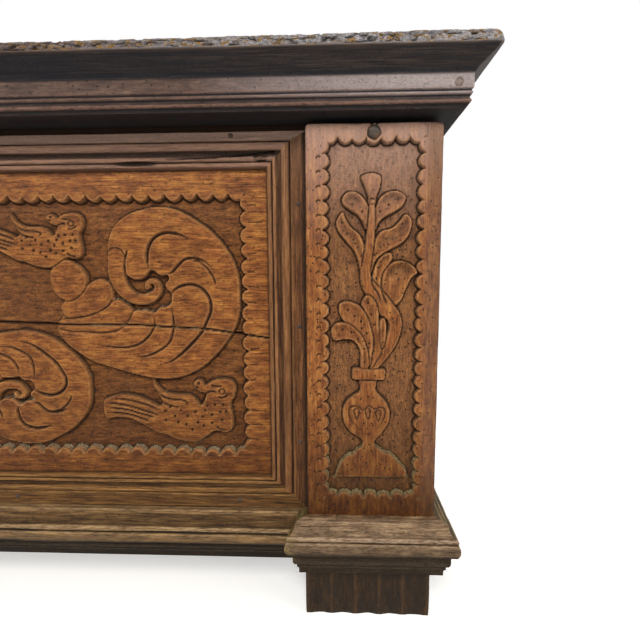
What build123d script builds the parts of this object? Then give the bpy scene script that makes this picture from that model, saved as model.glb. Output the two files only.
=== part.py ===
from build123d import *
import os

# A carved walnut cassone: a dovetailed plank chest on block feet, with applied pilasters, a moulded
# frame round the carved field, a base moulding that breaks forward under the pilasters, and a plank
# lid on two iron strap hinges, locked by an iron bolt. Millimetres, +X to the viewer's right,
# +Y to the back, +Z up, origin on the floor under the middle of the chest.

# ---------------------------------------------------------------- driving dimensions
overall_height = 600.0
body_length = 1500.0  # over the end boards
body_depth = 505.0  # from the pilasters' faces to the back

front_thickness = 32.0
back_thickness = 25.0
end_thickness = 28.0
bottom_thickness = 18.0
bottom_front_width = 250.0  # the front one of the two bottom boards

dovetail_count = 5
dovetail_root = 48.0  # a tail's width where it leaves the end board
dovetail_flare = 6.0  # what each side of a tail gains towards its tip
dovetail_lap = 10.0  # the front board's skin over the tails

pilaster_width = 139.3
pilaster_thickness = 24.0
pilaster_relief = 6.0
pilaster_gap = 6.2  # under the lid moulding
pilaster_margin_side = 18.5
pilaster_margin_top = 11.0
pilaster_margin_bottom = 18.0
pilaster_lobe_pitch = 15.5

panel_relief = 7.0
panel_margin = 21.0
panel_lobe_pitch = 17.7
frame_moulding_width = 40.0
frame_moulding_gap = 3.0  # under the lid moulding
frame_band_rise = 7.5  # the outer band's height over the front board

foot_height = 57.0
foot_depth = 120.0
foot_inset = 2.9  # from the pilaster's outer side
flute_radius = 20.0
flute_depth = 3.0
flute_pitch = 27.0
base_height = 60.0
base_edge = 5.0  # the base moulding's top shelf
base_nose = 24.3  # its widest part
base_plinth = 9.5  # its bottom edge

lid_thickness = 25.0
lid_overhang = 43.0
lid_back_overhang = 12.6
lid_front_board_width = 330.0
lid_bevel = 12.0  # height of the bevel under the lid's nose
lid_moulding_height = 31.0
lid_moulding_projection = 22.0
lid_moulding_foot = 17.0
lid_rest_gap = 0.3
lid_fit_gap = 2.0  # between the lid moulding and the walls
batten_width = 45.0
batten_thickness = 18.0
batten_inset = 60.0  # from the end boards
batten_end_gap = 40.0  # from the front and back boards
batten_nail_bite = 12.0  # what a batten's nail holds of the lid
batten_nail_pitch = 130.0

hinge_position = 480.0  # each hinge from the middle
strap_width = 36.0
strap_thickness = 3.0
back_strap_length = 190.0
lid_strap_length = 290.0
knuckle_radius = 6.0
hinge_pin_radius = 3.0
hinge_fit = 0.06
hinge_side_gap = 0.3
barrel_gap = 0.3  # between a barrel and the wood that it passes
strap_nail_pitch = 62.0

key_drop = 101.0  # the keyhole below the lid's planks
key_shank_radius = 3.0
key_fit = 0.08
key_shank_reach = 26.0  # in front of the escutcheon
key_bow_radius = 13.0
key_bow_hole_radius = 7.5
key_bow_thickness = 5.0
key_bit_height = 14.0
key_bit_depth = 11.0
key_bit_thickness = 3.0
keyhole_gap = 1.0
escutcheon_width = 34.0
escutcheon_height = 50.0
escutcheon_thickness = 1.5
lock_plate_width = 170.0
lock_plate_height = 96.0
lock_plate_thickness = 2.5
bolt_tail = 7.0  # what stays behind its back guide when the bolt is shot
bolt_height = 10.0
bolt_thickness = 7.0
bit_gap = 1.6  # between the turning bit and the bolt's guides
bolt_travel = 20.0
bolt_gap = 0.4
guide_width = 10.0
guide_wall = 3.0
guide_spacing = 48.0
staple_thickness = 5.0
staple_depth = 22.0
staple_below_bolt = 7.0
staple_flange_length = 60.0
staple_flange_thickness = 3.0
staple_eye_gap = 1.5
staple_clearance = 3.0  # behind the lock plate

stud_head_radius = 7.3
stud_head_rise = 4.5
stud_drop = 9.4  # from the pilaster's top edge
stud_length = 40.0
stud_shank_radius = 3.0
nail_head_radius = 5.0
nail_head_rise = 2.2
nail_shank_radius = 1.8
nail_length = 16.0
brad_head_radius = 2.6
brad_head_rise = 1.0
brad_shank_radius = 1.2
brad_length = 22.0
brad_inset = 9.0  # from the frame moulding's outer edge
brad_end_gap = 40.0  # from the opening's corners
rail_brad_pitch = 265.0
stile_brad_pitch = 130.0
peg_radius = 4.0
peg_length = 30.0
peg_proud = 0.4
peg_end_gap = 14.0  # from the lid moulding's corner
peg_drop = 9.0  # below the lid
peg_pitch = 500.0

# ---------------------------------------------------------------- places that follow from them
half_length = body_length / 2
lid_depth = lid_overhang + body_depth + lid_back_overhang
lid_front = -lid_depth / 2
lid_back = lid_depth / 2
pilaster_face = lid_front + lid_overhang
front_face = pilaster_face + pilaster_thickness
front_inner = front_face + front_thickness
back_face = pilaster_face + body_depth
back_inner = back_face - back_thickness
end_inner = half_length - end_thickness
pilaster_inner = half_length - pilaster_width

wall_bottom = foot_height + bottom_thickness
base_top = foot_height + base_height
lid_bottom = overall_height - lid_thickness
rim = lid_bottom - lid_rest_gap
lid_moulding_bottom = lid_bottom - lid_moulding_height
pilaster_top = lid_moulding_bottom - pilaster_gap
frame_top = lid_moulding_bottom - frame_moulding_gap
opening_half = pilaster_inner - frame_moulding_width
opening_bottom = base_top + frame_moulding_width
opening_top = frame_top - frame_moulding_width

hinge_y = back_face + knuckle_radius + barrel_gap
hinge_z = lid_bottom - knuckle_radius - barrel_gap
key_height = lid_bottom - key_drop
bolt_z = key_height + key_bit_height + bit_gap + guide_wall + bolt_gap + bolt_height / 2
lock_face = front_inner + lock_plate_thickness
bolt_y = lock_face + staple_clearance + staple_depth / 2
batten_nail = batten_thickness + batten_nail_bite
past = 40.0  # how far a cutting shape runs past what it cuts


# ---------------------------------------------------------------- helpers
def block(low, high):
    """A box from its lowest to its highest corner."""
    size = [top - bottom for bottom, top in zip(low, high)]
    middle = [(top + bottom) / 2 for bottom, top in zip(low, high)]
    return Pos(*middle) * Box(*size)


def outline(start, *stretches):
    """A face whose edge goes from start along each stretch: a point for a line, two for an arc."""
    edges = []
    point = start
    for stretch in stretches:
        if isinstance(stretch[0], tuple):
            edges.append(ThreePointArc(point, stretch[0], stretch[1]))
            point = stretch[1]
        else:
            edges.append(Line(point, stretch))
            point = stretch
    edges.append(Line(point, start))
    return make_face(edges)


def plan_prism(points, low, high):
    """An upright prism over a polygon in plan."""
    face = make_face(Polyline(*points, close=True))
    return Pos(0, 0, low) * extrude(face, amount=high - low)


def elevation_prism(points, front, back):
    """A prism through the chest from a polygon of (x, z) seen from the front."""
    face = Plane(origin=(0, back, 0), z_dir=(0, -1, 0), x_dir=(1, 0, 0)) * make_face(
        Polyline(*points, close=True)
    )
    return extrude(face, amount=back - front)


def mirrored(part):
    """The left-hand twin of a right-hand piece."""
    return part.mirror(Plane.YZ)


def run_along_front(profile, reference, half):
    """A moulding along the front: the profile's first number goes out from reference."""
    plane = Plane(origin=(half, reference, 0), x_dir=(0, -1, 0), z_dir=(-1, 0, 0))
    return extrude(plane * profile, amount=2 * half)


def run_along_side(profile, reference, front, back):
    """A moulding along the right-hand end: the profile's first number goes out from reference."""
    plane = Plane(origin=(reference, back, 0), x_dir=(1, 0, 0), z_dir=(0, -1, 0))
    return extrude(plane * profile, amount=back - front)


def fastener(place, outward, head_radius, head_rise, shank_radius, length):
    """A forged nail: a domed head on the surface at place, and a shank driven in behind it."""
    dome_radius = (head_radius**2 + head_rise**2) / (2 * head_rise)
    dome = Pos(0, 0, head_rise - dome_radius) * Sphere(dome_radius)
    head = dome & block((-past, -past, 0), (past, past, past))
    shank = Pos(0, 0, -length / 2) * Cylinder(shank_radius, length)
    return Plane(origin=place, z_dir=outward) * (head + shank)


def drilled(part, places, outward, shank_radius, length):
    """The part with the holes that the shanks at these places fill."""
    for place in places:
        hole = Pos(0, 0, -length / 2) * Cylinder(shank_radius, length)
        part -= Plane(origin=place, z_dir=outward) * hole
    return part


def evenly(first, last, pitch):
    """Places from first to last, as near to the pitch as fills the length."""
    count = max(1, round((last - first) / pitch))
    return [first + (last - first) * step / count for step in range(count + 1)]


def scalloped_field(half_width, low, high, pitch):
    """A sunk field of (x, z) whose edge is a row of half-round lobes, and its corners are square."""
    field = make_face(Polyline((-half_width, low), (half_width, low), (half_width, high),
                               (-half_width, high), close=True))
    radius = pitch / 2
    centres = []
    for x in evenly(-half_width + radius, half_width - radius, pitch):
        centres += [(x, low), (x, high)]
    for z in evenly(low + radius, high - radius, pitch):
        centres += [(-half_width, z), (half_width, z)]
    lobe_radius = radius * 0.94
    lobes = [Pos(x, z) * Circle(lobe_radius) for x, z in centres]
    return Sketch() + (Sketch() + field - lobes)


def sink(field, x, face, depth):
    """The solid that sinks a field by depth behind an upright face at y = face."""
    plane = Plane(origin=(x, face + depth, 0), z_dir=(0, -1, 0), x_dir=(1, 0, 0))
    return extrude(plane * field, amount=depth + 1)


# ---------------------------------------------------------------- dovetailed carcass
def tails(root, tip):
    """The right-hand end board's tails, from its shoulder at y = root to y = tip."""
    height = rim - wall_bottom
    solids = []
    for step in range(dovetail_count):
        middle = wall_bottom + height * (step + 0.5) / dovetail_count
        narrow = dovetail_root / 2
        wide = narrow + dovetail_flare
        corners = [(root, middle - narrow), (tip, middle - wide), (tip, middle + wide),
                   (root, middle + narrow)]
        plane = Plane(origin=(end_inner, 0, 0), x_dir=(0, 1, 0), z_dir=(1, 0, 0))
        face = plane * make_face(Polyline(*corners, close=True))
        solids.append(extrude(face, amount=end_thickness))
    return solids


front_tails = tails(front_inner, front_face + dovetail_lap)
back_tails = tails(back_inner, back_face)


def end_board():
    board = block((end_inner, front_inner, wall_bottom), (half_length, back_inner, rim))
    for tail in front_tails + back_tails:
        board += tail
    return board


def front_board():
    board = block((-half_length, front_face, wall_bottom), (half_length, front_inner, rim))
    for tail in front_tails:
        board -= tail
        board -= mirrored(tail)
    field = scalloped_field(opening_half - panel_margin, opening_bottom + panel_margin,
                            opening_top - panel_margin, panel_lobe_pitch)
    board -= sink(field, 0, front_face, panel_relief)
    tablet_half = escutcheon_width / 2 + panel_lobe_pitch / 2
    board += block((-tablet_half, front_face, key_height - escutcheon_height),
                   (tablet_half, front_inner, opening_top - panel_margin / 2))
    board -= keyhole(front_face - 1, front_inner + 1, key_shank_radius + keyhole_gap)
    board = drilled(board, stud_places(), (0, -1, 0), stud_shank_radius, stud_length)
    board = drilled(board, brad_places(), (0, -1, 0), brad_shank_radius, brad_length)
    board = drilled(board, escutcheon_pin_places(), (0, -1, 0), brad_shank_radius, brad_length)
    return drilled(board, lock_nail_places(), (0, 1, 0), nail_shank_radius, nail_length)


def back_board():
    board = block((-half_length, back_inner, wall_bottom), (half_length, back_face, rim))
    for tail in back_tails:
        board -= tail
        board -= mirrored(tail)
    for side in (-1, 1):
        x = side * hinge_position
        half = strap_width / 2 + lid_fit_gap / 2
        bed = lid_bottom - strap_thickness - barrel_gap
        board -= block((x - half, back_inner - 1, bed), (x + half, back_face + 1, rim + 1))
        board = drilled(board, back_strap_nails(x), (0, 1, 0), nail_shank_radius, nail_length)
    return board


def bottom_boards():
    seam = front_face + bottom_front_width
    low, high = foot_height, wall_bottom
    front = block((-half_length, front_face, low), (half_length, seam, high))
    back = block((-half_length, seam, low), (half_length, back_face, high))
    return front, back


# ---------------------------------------------------------------- feet and base moulding
def front_foot():
    outer = half_length - foot_inset
    inner = pilaster_inner - foot_inset
    foot = block((inner, pilaster_face, 0), (outer, pilaster_face + foot_depth, foot_height))
    centre_back = flute_radius - flute_depth
    count = int((outer - inner) / flute_pitch)
    first = (outer + inner - (count - 1) * flute_pitch) / 2
    for step in range(count):
        x = first + step * flute_pitch
        foot -= Pos(x, pilaster_face - centre_back, foot_height / 2) * Cylinder(
            flute_radius, foot_height + 2
        )
    return foot


def back_foot():
    outer = half_length - foot_inset
    inner = pilaster_inner - foot_inset
    return block((inner, back_face - foot_depth, 0), (outer, back_face, foot_height))


def base_profile(backing):
    """Shelf, hollow slope, thumb nose, undercut ogee and plinth, over a back at -backing."""
    top = base_top
    low = foot_height
    nose = base_nose
    return outline(
        (-backing, low),
        (base_plinth, low),
        (base_plinth, low + 5.5),
        (base_plinth + 2.3, low + 8.5),
        (base_plinth + 2.3, low + 12),
        ((base_plinth + 5, low + 15), (base_plinth + 6.5, low + 19)),
        (base_plinth + 6.5, low + 24),
        (nose - 3.3, low + 27),
        ((nose, low + 36), (nose - 2.8, top - 14)),
        (nose - 4.5, top - 14),
        (nose - 5.2, top - 12.6),
        ((nose - 13.5, top - 8), (base_edge + 0.6, top - 3.6)),
        ((base_edge + 1.1, top - 1.6), (base_edge - 0.5, top)),
        (-backing, top),
    )


def base_moulding_front():
    run = run_along_front(base_profile(0), front_face, half_length)
    plan = [(-pilaster_inner, front_face), (pilaster_inner, front_face),
            (pilaster_inner - past, front_face - past), (-pilaster_inner + past, front_face - past)]
    return run & plan_prism(plan, 0, overall_height)


def base_break():
    """The block under the right-hand pilaster, as thick as the pilaster and its own moulding."""
    run = run_along_front(base_profile(pilaster_thickness), pilaster_face, half_length + past)
    plan = [(pilaster_inner, front_face), (half_length, front_face), (half_length, pilaster_face),
            (half_length + past, pilaster_face - past), (pilaster_inner - past, pilaster_face - past),
            (pilaster_inner, pilaster_face)]
    return run & plan_prism(plan, 0, overall_height)


def base_return():
    """The short piece between the front run and the right-hand break."""
    plane = Plane(origin=(pilaster_inner, pilaster_face - past, 0), x_dir=(-1, 0, 0), z_dir=(0, 1, 0))
    run = extrude(plane * base_profile(0), amount=pilaster_thickness + past)
    plan = [(pilaster_inner, front_face), (pilaster_inner, pilaster_face),
            (pilaster_inner - past, pilaster_face - past), (pilaster_inner - past, front_face - past)]
    return run & plan_prism(plan, 0, overall_height)


def base_moulding_end():
    run = run_along_side(base_profile(0), half_length, pilaster_face - past, back_face)
    plan = [(half_length, pilaster_face), (half_length + past, pilaster_face - past),
            (half_length + past, back_face), (half_length, back_face)]
    return run & plan_prism(plan, 0, overall_height)


# ---------------------------------------------------------------- pilasters and the carved field's frame
def stud_places():
    x = (half_length + pilaster_inner) / 2
    return [(side * x, pilaster_face, pilaster_top - stud_drop) for side in (-1, 1)]


def pilaster():
    board = block((pilaster_inner, pilaster_face, base_top), (half_length, front_face, pilaster_top))
    middle = (half_length + pilaster_inner) / 2
    field = scalloped_field(pilaster_width / 2 - pilaster_margin_side,
                            base_top + pilaster_margin_bottom,
                            pilaster_top - pilaster_margin_top - stud_drop,
                            pilaster_lobe_pitch)
    board -= sink(field, middle, pilaster_face, pilaster_relief)
    return drilled(board, stud_places(), (0, -1, 0), stud_shank_radius, stud_length)


def frame_profile():
    """Flat band, quirk, bead, hollow and fillets, from the outer edge inwards, rising from 0."""
    width = frame_moulding_width
    return outline(
        (0, 0),
        (0, frame_band_rise),
        (17.5, frame_band_rise - 0.2),
        (18.6, 5.6),
        (20, 7.4),
        ((23.2, 10.2), (27, 8.6)),
        (28.2, 7.6),
        ((32.5, 5.4), (width - 3.6, 6.2)),
        (width - 2.4, 5.0),
        (width, 5.0),
        (width, 0),
    )


def brad_places():
    """The small nails in the frame moulding's outer band."""
    seat = front_face - frame_band_rise
    upright_x = pilaster_inner - brad_inset
    places = []
    for x in evenly(-opening_half + brad_end_gap, opening_half - brad_end_gap, rail_brad_pitch):
        places += [(x, seat, frame_top - brad_inset)]
        places += [(x, seat, base_top + brad_inset)]
    for z in evenly(opening_bottom + brad_end_gap, opening_top - brad_end_gap, stile_brad_pitch):
        places += [(upright_x, seat, z), (-upright_x, seat, z)]
    return places


def frame_rail(upper):
    """The top or bottom piece of the frame, mitred at both ends."""
    outer = frame_top if upper else base_top
    inward = -1 if upper else 1
    start = -inward * pilaster_inner
    plane = Plane(origin=(start, front_face, outer), x_dir=(0, 0, inward), z_dir=(inward, 0, 0))
    run = extrude(plane * frame_profile(), amount=2 * pilaster_inner)
    inner = outer + inward * frame_moulding_width
    plan = [(-pilaster_inner, outer), (pilaster_inner, outer), (opening_half, inner),
            (-opening_half, inner)]
    rail = run & elevation_prism(plan, front_face - past, front_face)
    return drilled(rail, brad_places(), (0, -1, 0), brad_shank_radius, brad_length)


def frame_stile():
    """The right-hand upright of the frame."""
    plane = Plane(origin=(pilaster_inner, front_face, base_top), x_dir=(-1, 0, 0), z_dir=(0, 0, 1))
    run = extrude(plane * frame_profile(), amount=frame_top - base_top)
    plan = [(pilaster_inner, base_top), (pilaster_inner, frame_top), (opening_half, opening_top),
            (opening_half, opening_bottom)]
    stile = run & elevation_prism(plan, front_face - past, front_face)
    return drilled(stile, brad_places(), (0, -1, 0), brad_shank_radius, brad_length)


# ---------------------------------------------------------------- lid
def nose_points(reach):
    """The lid's edge from its underside round the nose to its top: reach is the nose's place."""
    def at(inset, drop):
        return (reach - inset, overall_height - drop)

    return [
        at(lid_overhang - lid_moulding_projection, lid_thickness),
        at(2.6, lid_thickness - lid_bevel - 0.6),
        (at(0.4, 10.6), at(0.0, 8.0)),
        (at(0.7, 3.6), at(3.6, 0.0)),
    ]


def lid_slab():
    back = -(body_depth + lid_back_overhang)
    along = outline((back, lid_bottom), *nose_points(lid_overhang), (back, overall_height))
    slab = run_along_front(along, pilaster_face, half_length + lid_overhang + past)
    reach = half_length + lid_overhang
    right = nose_points(reach)
    across = outline((0, lid_bottom), *right, (0, overall_height))
    plane = Plane(origin=(0, lid_back, 0), x_dir=(1, 0, 0), z_dir=(0, -1, 0))
    half = extrude(plane * across, amount=lid_depth)
    return slab & (half + mirrored(half))


def lid_boards():
    slab = lid_slab()
    seam = lid_front + lid_front_board_width
    wide = half_length + lid_overhang + past
    front = slab & block((-wide, lid_front - 1, 0), (wide, seam, overall_height + 1))
    back = slab & block((-wide, seam, 0), (wide, lid_back + 1, overall_height + 1))
    for side in (-1, 1):
        x = side * hinge_position
        front = drilled(front, lid_strap_nails(x), (0, 0, -1), nail_shank_radius, nail_length)
        back = drilled(back, lid_strap_nails(x), (0, 0, -1), nail_shank_radius, nail_length)
        batten_x = side * (end_inner - batten_inset)
        front = drilled(front, batten_nails(batten_x), (0, 0, -1), nail_shank_radius, batten_nail)
        back = drilled(back, batten_nails(batten_x), (0, 0, -1), nail_shank_radius, batten_nail)
    front = drilled(front, staple_nails(), (0, 0, -1), nail_shank_radius, nail_length)
    return front, back


def lid_moulding_profile(inner):
    """Fascia, quirk, bead, ogee and fillet under the lid, over a back at t = inner."""
    out = lid_moulding_projection
    low = lid_moulding_bottom
    return outline(
        (inner, lid_bottom),
        (inner, low),
        (lid_moulding_foot, low),
        (lid_moulding_foot, low + 2),
        (lid_moulding_foot + 1.4, low + 2.8),
        ((out - 2.2, low + 4.2), (out - 1.5, low + 7)),
        ((out - 2.4, low + 9), (out - 1.2, low + 11)),
        (out - 2.4, low + 12.8),
        (out - 0.5, low + 15),
        (out, lid_bottom),
    )


def lid_moulding_front():
    wide = half_length + past
    backing = front_face - lid_fit_gap - pilaster_face
    run = run_along_front(lid_moulding_profile(-backing), pilaster_face, wide)
    inner_x = half_length + lid_fit_gap
    outer_x = half_length + past
    plan = [(-outer_x, pilaster_face - past), (outer_x, pilaster_face - past),
            (inner_x, pilaster_face - lid_fit_gap), (inner_x, front_face - lid_fit_gap),
            (-inner_x, front_face - lid_fit_gap), (-inner_x, pilaster_face - lid_fit_gap)]
    moulding = run & plan_prism(plan, 0, overall_height)
    for place in peg_places():
        moulding -= peg(place)
    return moulding


def lid_moulding_end():
    run = run_along_side(lid_moulding_profile(lid_fit_gap), half_length, pilaster_face - past, lid_back)
    plan = [(half_length + lid_fit_gap, pilaster_face - lid_fit_gap),
            (half_length + past, pilaster_face - past), (half_length + past, lid_back),
            (half_length + lid_fit_gap, lid_back)]
    moulding = run & plan_prism(plan, 0, overall_height)
    return moulding - peg(peg_places()[-1])


def peg_places():
    far = half_length + lid_moulding_projection - peg_end_gap
    height = lid_bottom - peg_drop
    return [(x, pilaster_face - lid_moulding_projection - peg_proud, height)
            for x in evenly(-far, far, peg_pitch)]


def peg(place):
    x, y, z = place
    return Pos(x, y + peg_length / 2, z) * Rot(90, 0, 0) * Cylinder(peg_radius, peg_length)


def batten_nails(x):
    low = front_inner + batten_end_gap
    high = back_inner - batten_end_gap
    return [(x, y, lid_bottom - batten_thickness) for y in evenly(low + batten_width, high - batten_width, batten_nail_pitch)]


def batten():
    x = end_inner - batten_inset
    half = batten_width / 2
    solid = block((x - half, front_inner + batten_end_gap, lid_bottom - batten_thickness),
                  (x + half, back_inner - batten_end_gap, lid_bottom))
    return drilled(solid, batten_nails(x), (0, 0, -1), nail_shank_radius, batten_nail)


# ---------------------------------------------------------------- strap hinges
knuckle = strap_width / 3


def barrel(x, length, bore_radius):
    """A rolled knuckle on the hinge axis, centred on x."""
    turn = Pos(x, hinge_y, hinge_z) * Rot(0, 90, 0)
    return turn * (Cylinder(knuckle_radius, length) - Cylinder(bore_radius, length + 2))


def lid_strap_nails(x):
    first = back_inner - 30
    last = back_inner - lid_strap_length + strap_width
    return [(x, y, lid_bottom - strap_thickness) for y in evenly(last, first, strap_nail_pitch)]


def back_strap_nails(x):
    first = hinge_z - 34
    last = hinge_z - back_strap_length + strap_width / 2
    return [(x, back_face + strap_thickness, z) for z in evenly(last, first, strap_nail_pitch)]


def lid_strap(x):
    half = strap_width / 2
    front = back_inner - lid_strap_length
    low = lid_bottom - strap_thickness
    shoulder = hinge_y - knuckle_radius - 2 * barrel_gap
    leaf = block((x - half, front + half, low), (x + half, shoulder, lid_bottom))
    leaf += Pos(x, front + half, low + strap_thickness / 2) * Cylinder(half, strap_thickness)
    middle = knuckle / 2 - hinge_side_gap
    leaf += block((x - middle, shoulder - 1, low), (x + middle, hinge_y, lid_bottom))
    bore = hinge_pin_radius + hinge_fit
    leaf -= Pos(x, hinge_y, hinge_z) * Rot(0, 90, 0) * Cylinder(bore, strap_width)
    leaf += barrel(x, 2 * middle, bore)
    return drilled(leaf, lid_strap_nails(x), (0, 0, -1), nail_shank_radius, nail_length)


def back_strap(x):
    half = strap_width / 2
    foot = hinge_z - back_strap_length
    face = back_face + strap_thickness
    shoulder = hinge_z - knuckle_radius - 2 * barrel_gap
    leaf = block((x - half, back_face, foot + half), (x + half, face, shoulder))
    end = Pos(x, back_face + strap_thickness / 2, foot + half) * Rot(90, 0, 0)
    leaf += end * Cylinder(half, strap_thickness)
    for side in (-1, 1):
        middle = x + side * knuckle
        low_x = middle - knuckle / 2
        leaf += block((low_x, back_face, shoulder - 1), (low_x + knuckle, face, hinge_z))
        leaf += barrel(middle, knuckle, hinge_pin_radius)
    return drilled(leaf, back_strap_nails(x), (0, 1, 0), nail_shank_radius, nail_length)


def hinge_pin(x):
    """A pin peened over at both ends of the barrel."""
    turn = Pos(x, hinge_y, hinge_z) * Rot(0, 90, 0)
    pin = Cylinder(hinge_pin_radius, strap_width + 2)
    for side in (-1, 1):
        pin += Pos(0, 0, side * (strap_width / 2 + 1)) * Cylinder(knuckle_radius - 1.5, 2)
    return turn * pin


# ---------------------------------------------------------------- lock
def keyhole(front, back, radius):
    """A round hole over a slot that lets the key's bit through."""
    turn = Pos(0, (front + back) / 2, key_height) * Rot(90, 0, 0)
    hole = turn * Cylinder(radius, back - front)
    half = key_bit_thickness / 2 + keyhole_gap
    low = key_height - key_bit_height - key_shank_radius - keyhole_gap
    return hole + block((-half, front, low), (half, back, key_height))


def escutcheon_pin_places():
    reach = escutcheon_height / 2 - 6
    face = front_face - escutcheon_thickness
    middle = key_height - key_bit_height / 2
    return [(0, face, middle + reach), (0, face, middle - reach)]


def escutcheon():
    """A thin iron plate with round ends round the keyhole."""
    half = escutcheon_width / 2
    middle = key_height - key_bit_height / 2
    straight = escutcheon_height / 2 - half
    face = front_face - escutcheon_thickness
    plate = block((-half, face, middle - straight), (half, front_face, middle + straight))
    for side in (-1, 1):
        turn = Pos(0, front_face - escutcheon_thickness / 2, middle + side * straight) * Rot(90, 0, 0)
        plate += turn * Cylinder(half, escutcheon_thickness)
    plate -= keyhole(face - 1, front_face + 1, key_shank_radius + keyhole_gap)
    return drilled(plate, escutcheon_pin_places(), (0, -1, 0), brad_shank_radius, brad_length)


def lock_plate_edges():
    low = key_height - key_bit_height - key_shank_radius - 3 * keyhole_gap - 12
    return low, low + lock_plate_height


def lock_nail_places():
    low, high = lock_plate_edges()
    half = lock_plate_width / 2
    return [(x, lock_face, z) for x in (-half + 10, half - 10) for z in (low + 10, high - 10)]


def lock_plate():
    low, high = lock_plate_edges()
    half = lock_plate_width / 2
    plate = block((-half, front_inner, low), (half, lock_face, high))
    plate -= keyhole(front_inner - 1, lock_face + 1, key_shank_radius + key_fit)
    return drilled(plate, lock_nail_places(), (0, 1, 0), nail_shank_radius, nail_length)


def bolt_start():
    """The bolt's right-hand end at rest, just short of the staple."""
    return -staple_thickness / 2 - staple_eye_gap + staple_x()


def staple_x():
    return lock_plate_width / 2 - 30


def bolt_guides():
    """Two iron bridges on the lock plate that carry the bolt."""
    bar_y = bolt_thickness / 2 + bolt_gap
    bar_z = bolt_height / 2 + bolt_gap
    guides = []
    for step in range(2):
        x = bolt_start() - guide_width - step * guide_spacing
        outer = block((x - guide_width / 2, lock_face, bolt_z - bar_z - guide_wall),
                      (x + guide_width / 2, bolt_y + bar_y + guide_wall, bolt_z + bar_z + guide_wall))
        inner = block((x - guide_width, bolt_y - bar_y, bolt_z - bar_z),
                      (x + guide_width, bolt_y + bar_y, bolt_z + bar_z))
        guides.append(outer - inner)
    return Compound(children=guides)


def lock_bolt():
    end = bolt_start()
    bolt_length = 1.5 * guide_width + guide_spacing + bolt_travel + bolt_tail
    return block((end - bolt_length, bolt_y - bolt_thickness / 2, bolt_z - bolt_height / 2),
                 (end, bolt_y + bolt_thickness / 2, bolt_z + bolt_height / 2))


def staple_nails():
    reach = staple_flange_length / 2 - 10
    low = lid_bottom - staple_flange_thickness
    return [(staple_x() + side * reach, bolt_y, low) for side in (-1, 1)]


def lid_staple():
    """A flat iron tongue under the lid, with the eye that the bolt shoots through."""
    x = staple_x()
    half = staple_thickness / 2
    low = bolt_z - bolt_height / 2 - staple_below_bolt
    tongue = block((x - half, bolt_y - staple_depth / 2, low),
                   (x + half, bolt_y + staple_depth / 2, lid_bottom))
    eye_y = bolt_thickness / 2 + staple_eye_gap
    eye_z = bolt_height / 2 + staple_eye_gap
    tongue -= block((x - past, bolt_y - eye_y, bolt_z - eye_z), (x + past, bolt_y + eye_y, bolt_z + eye_z))
    flange_half = staple_flange_length / 2
    tongue += block((x - flange_half, bolt_y - staple_depth / 2, lid_bottom - staple_flange_thickness),
                    (x + flange_half, bolt_y + staple_depth / 2, lid_bottom))
    return drilled(tongue, staple_nails(), (0, 0, -1), nail_shank_radius, nail_length)


def key():
    """Bow outside, shank through the front board, and a bit behind the lock plate."""
    face = front_face - escutcheon_thickness
    bow_y = face - key_shank_reach
    tip = lock_face + staple_clearance + key_bit_depth
    turn = Rot(90, 0, 0)
    shank = Pos(0, (bow_y + tip) / 2, key_height) * turn * Cylinder(key_shank_radius, tip - bow_y)
    upright = Rot(0, 0, 90) * turn
    ring = Cylinder(key_bow_radius, key_bow_thickness) - Cylinder(key_bow_hole_radius, past)
    bow = Pos(0, bow_y - key_bow_radius + key_shank_radius / 2, key_height) * upright * ring
    half = key_bit_thickness / 2
    bit = block((-half, tip - key_bit_depth, key_height - key_bit_height),
                (half, tip, key_height))
    collar_y = face - 2.0
    collar = Pos(0, collar_y - 1.5, key_height) * turn * Cylinder(key_shank_radius + 1.5, 3)
    return shank + bow + bit + collar


# ---------------------------------------------------------------- nodes
def nails(places, outward):
    return [fastener(place, outward, nail_head_radius, nail_head_rise, nail_shank_radius, nail_length)
            for place in places]


lower_front, lower_back = bottom_boards()
lid_front_board, lid_back_board = lid_boards()
right = {
    "end_board": end_board(),
    "pilaster": pilaster(),
    "panel_moulding": frame_stile(),
    "base_break": base_break(),
    "base_return": base_return(),
    "base_moulding_end": base_moulding_end(),
    "foot_front": front_foot(),
    "foot_back": back_foot(),
    "lid_moulding_end": lid_moulding_end(),
    "lid_batten": batten(),
    "hinge_lid_strap": lid_strap(hinge_position),
    "hinge_back_strap": back_strap(hinge_position),
    "hinge_pin": hinge_pin(hinge_position),
}
nodes = {
    "front_board": front_board(),
    "back_board": back_board(),
    "bottom_board_front": lower_front,
    "bottom_board_back": lower_back,
    "panel_moulding_top": frame_rail(True),
    "panel_moulding_bottom": frame_rail(False),
    "base_moulding_front": base_moulding_front(),
    "lid_board_front": lid_front_board,
    "lid_board_back": lid_back_board,
    "lid_moulding_front": lid_moulding_front(),
    "escutcheon": escutcheon(),
    "lock_plate": lock_plate(),
    "bolt_guides": bolt_guides(),
    "lock_bolt": lock_bolt(),
    "lid_staple": lid_staple(),
    "key": key(),
}
for name, solid in right.items():
    nodes[name + "_right"] = solid
    nodes[name + "_left"] = mirrored(solid)

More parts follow.
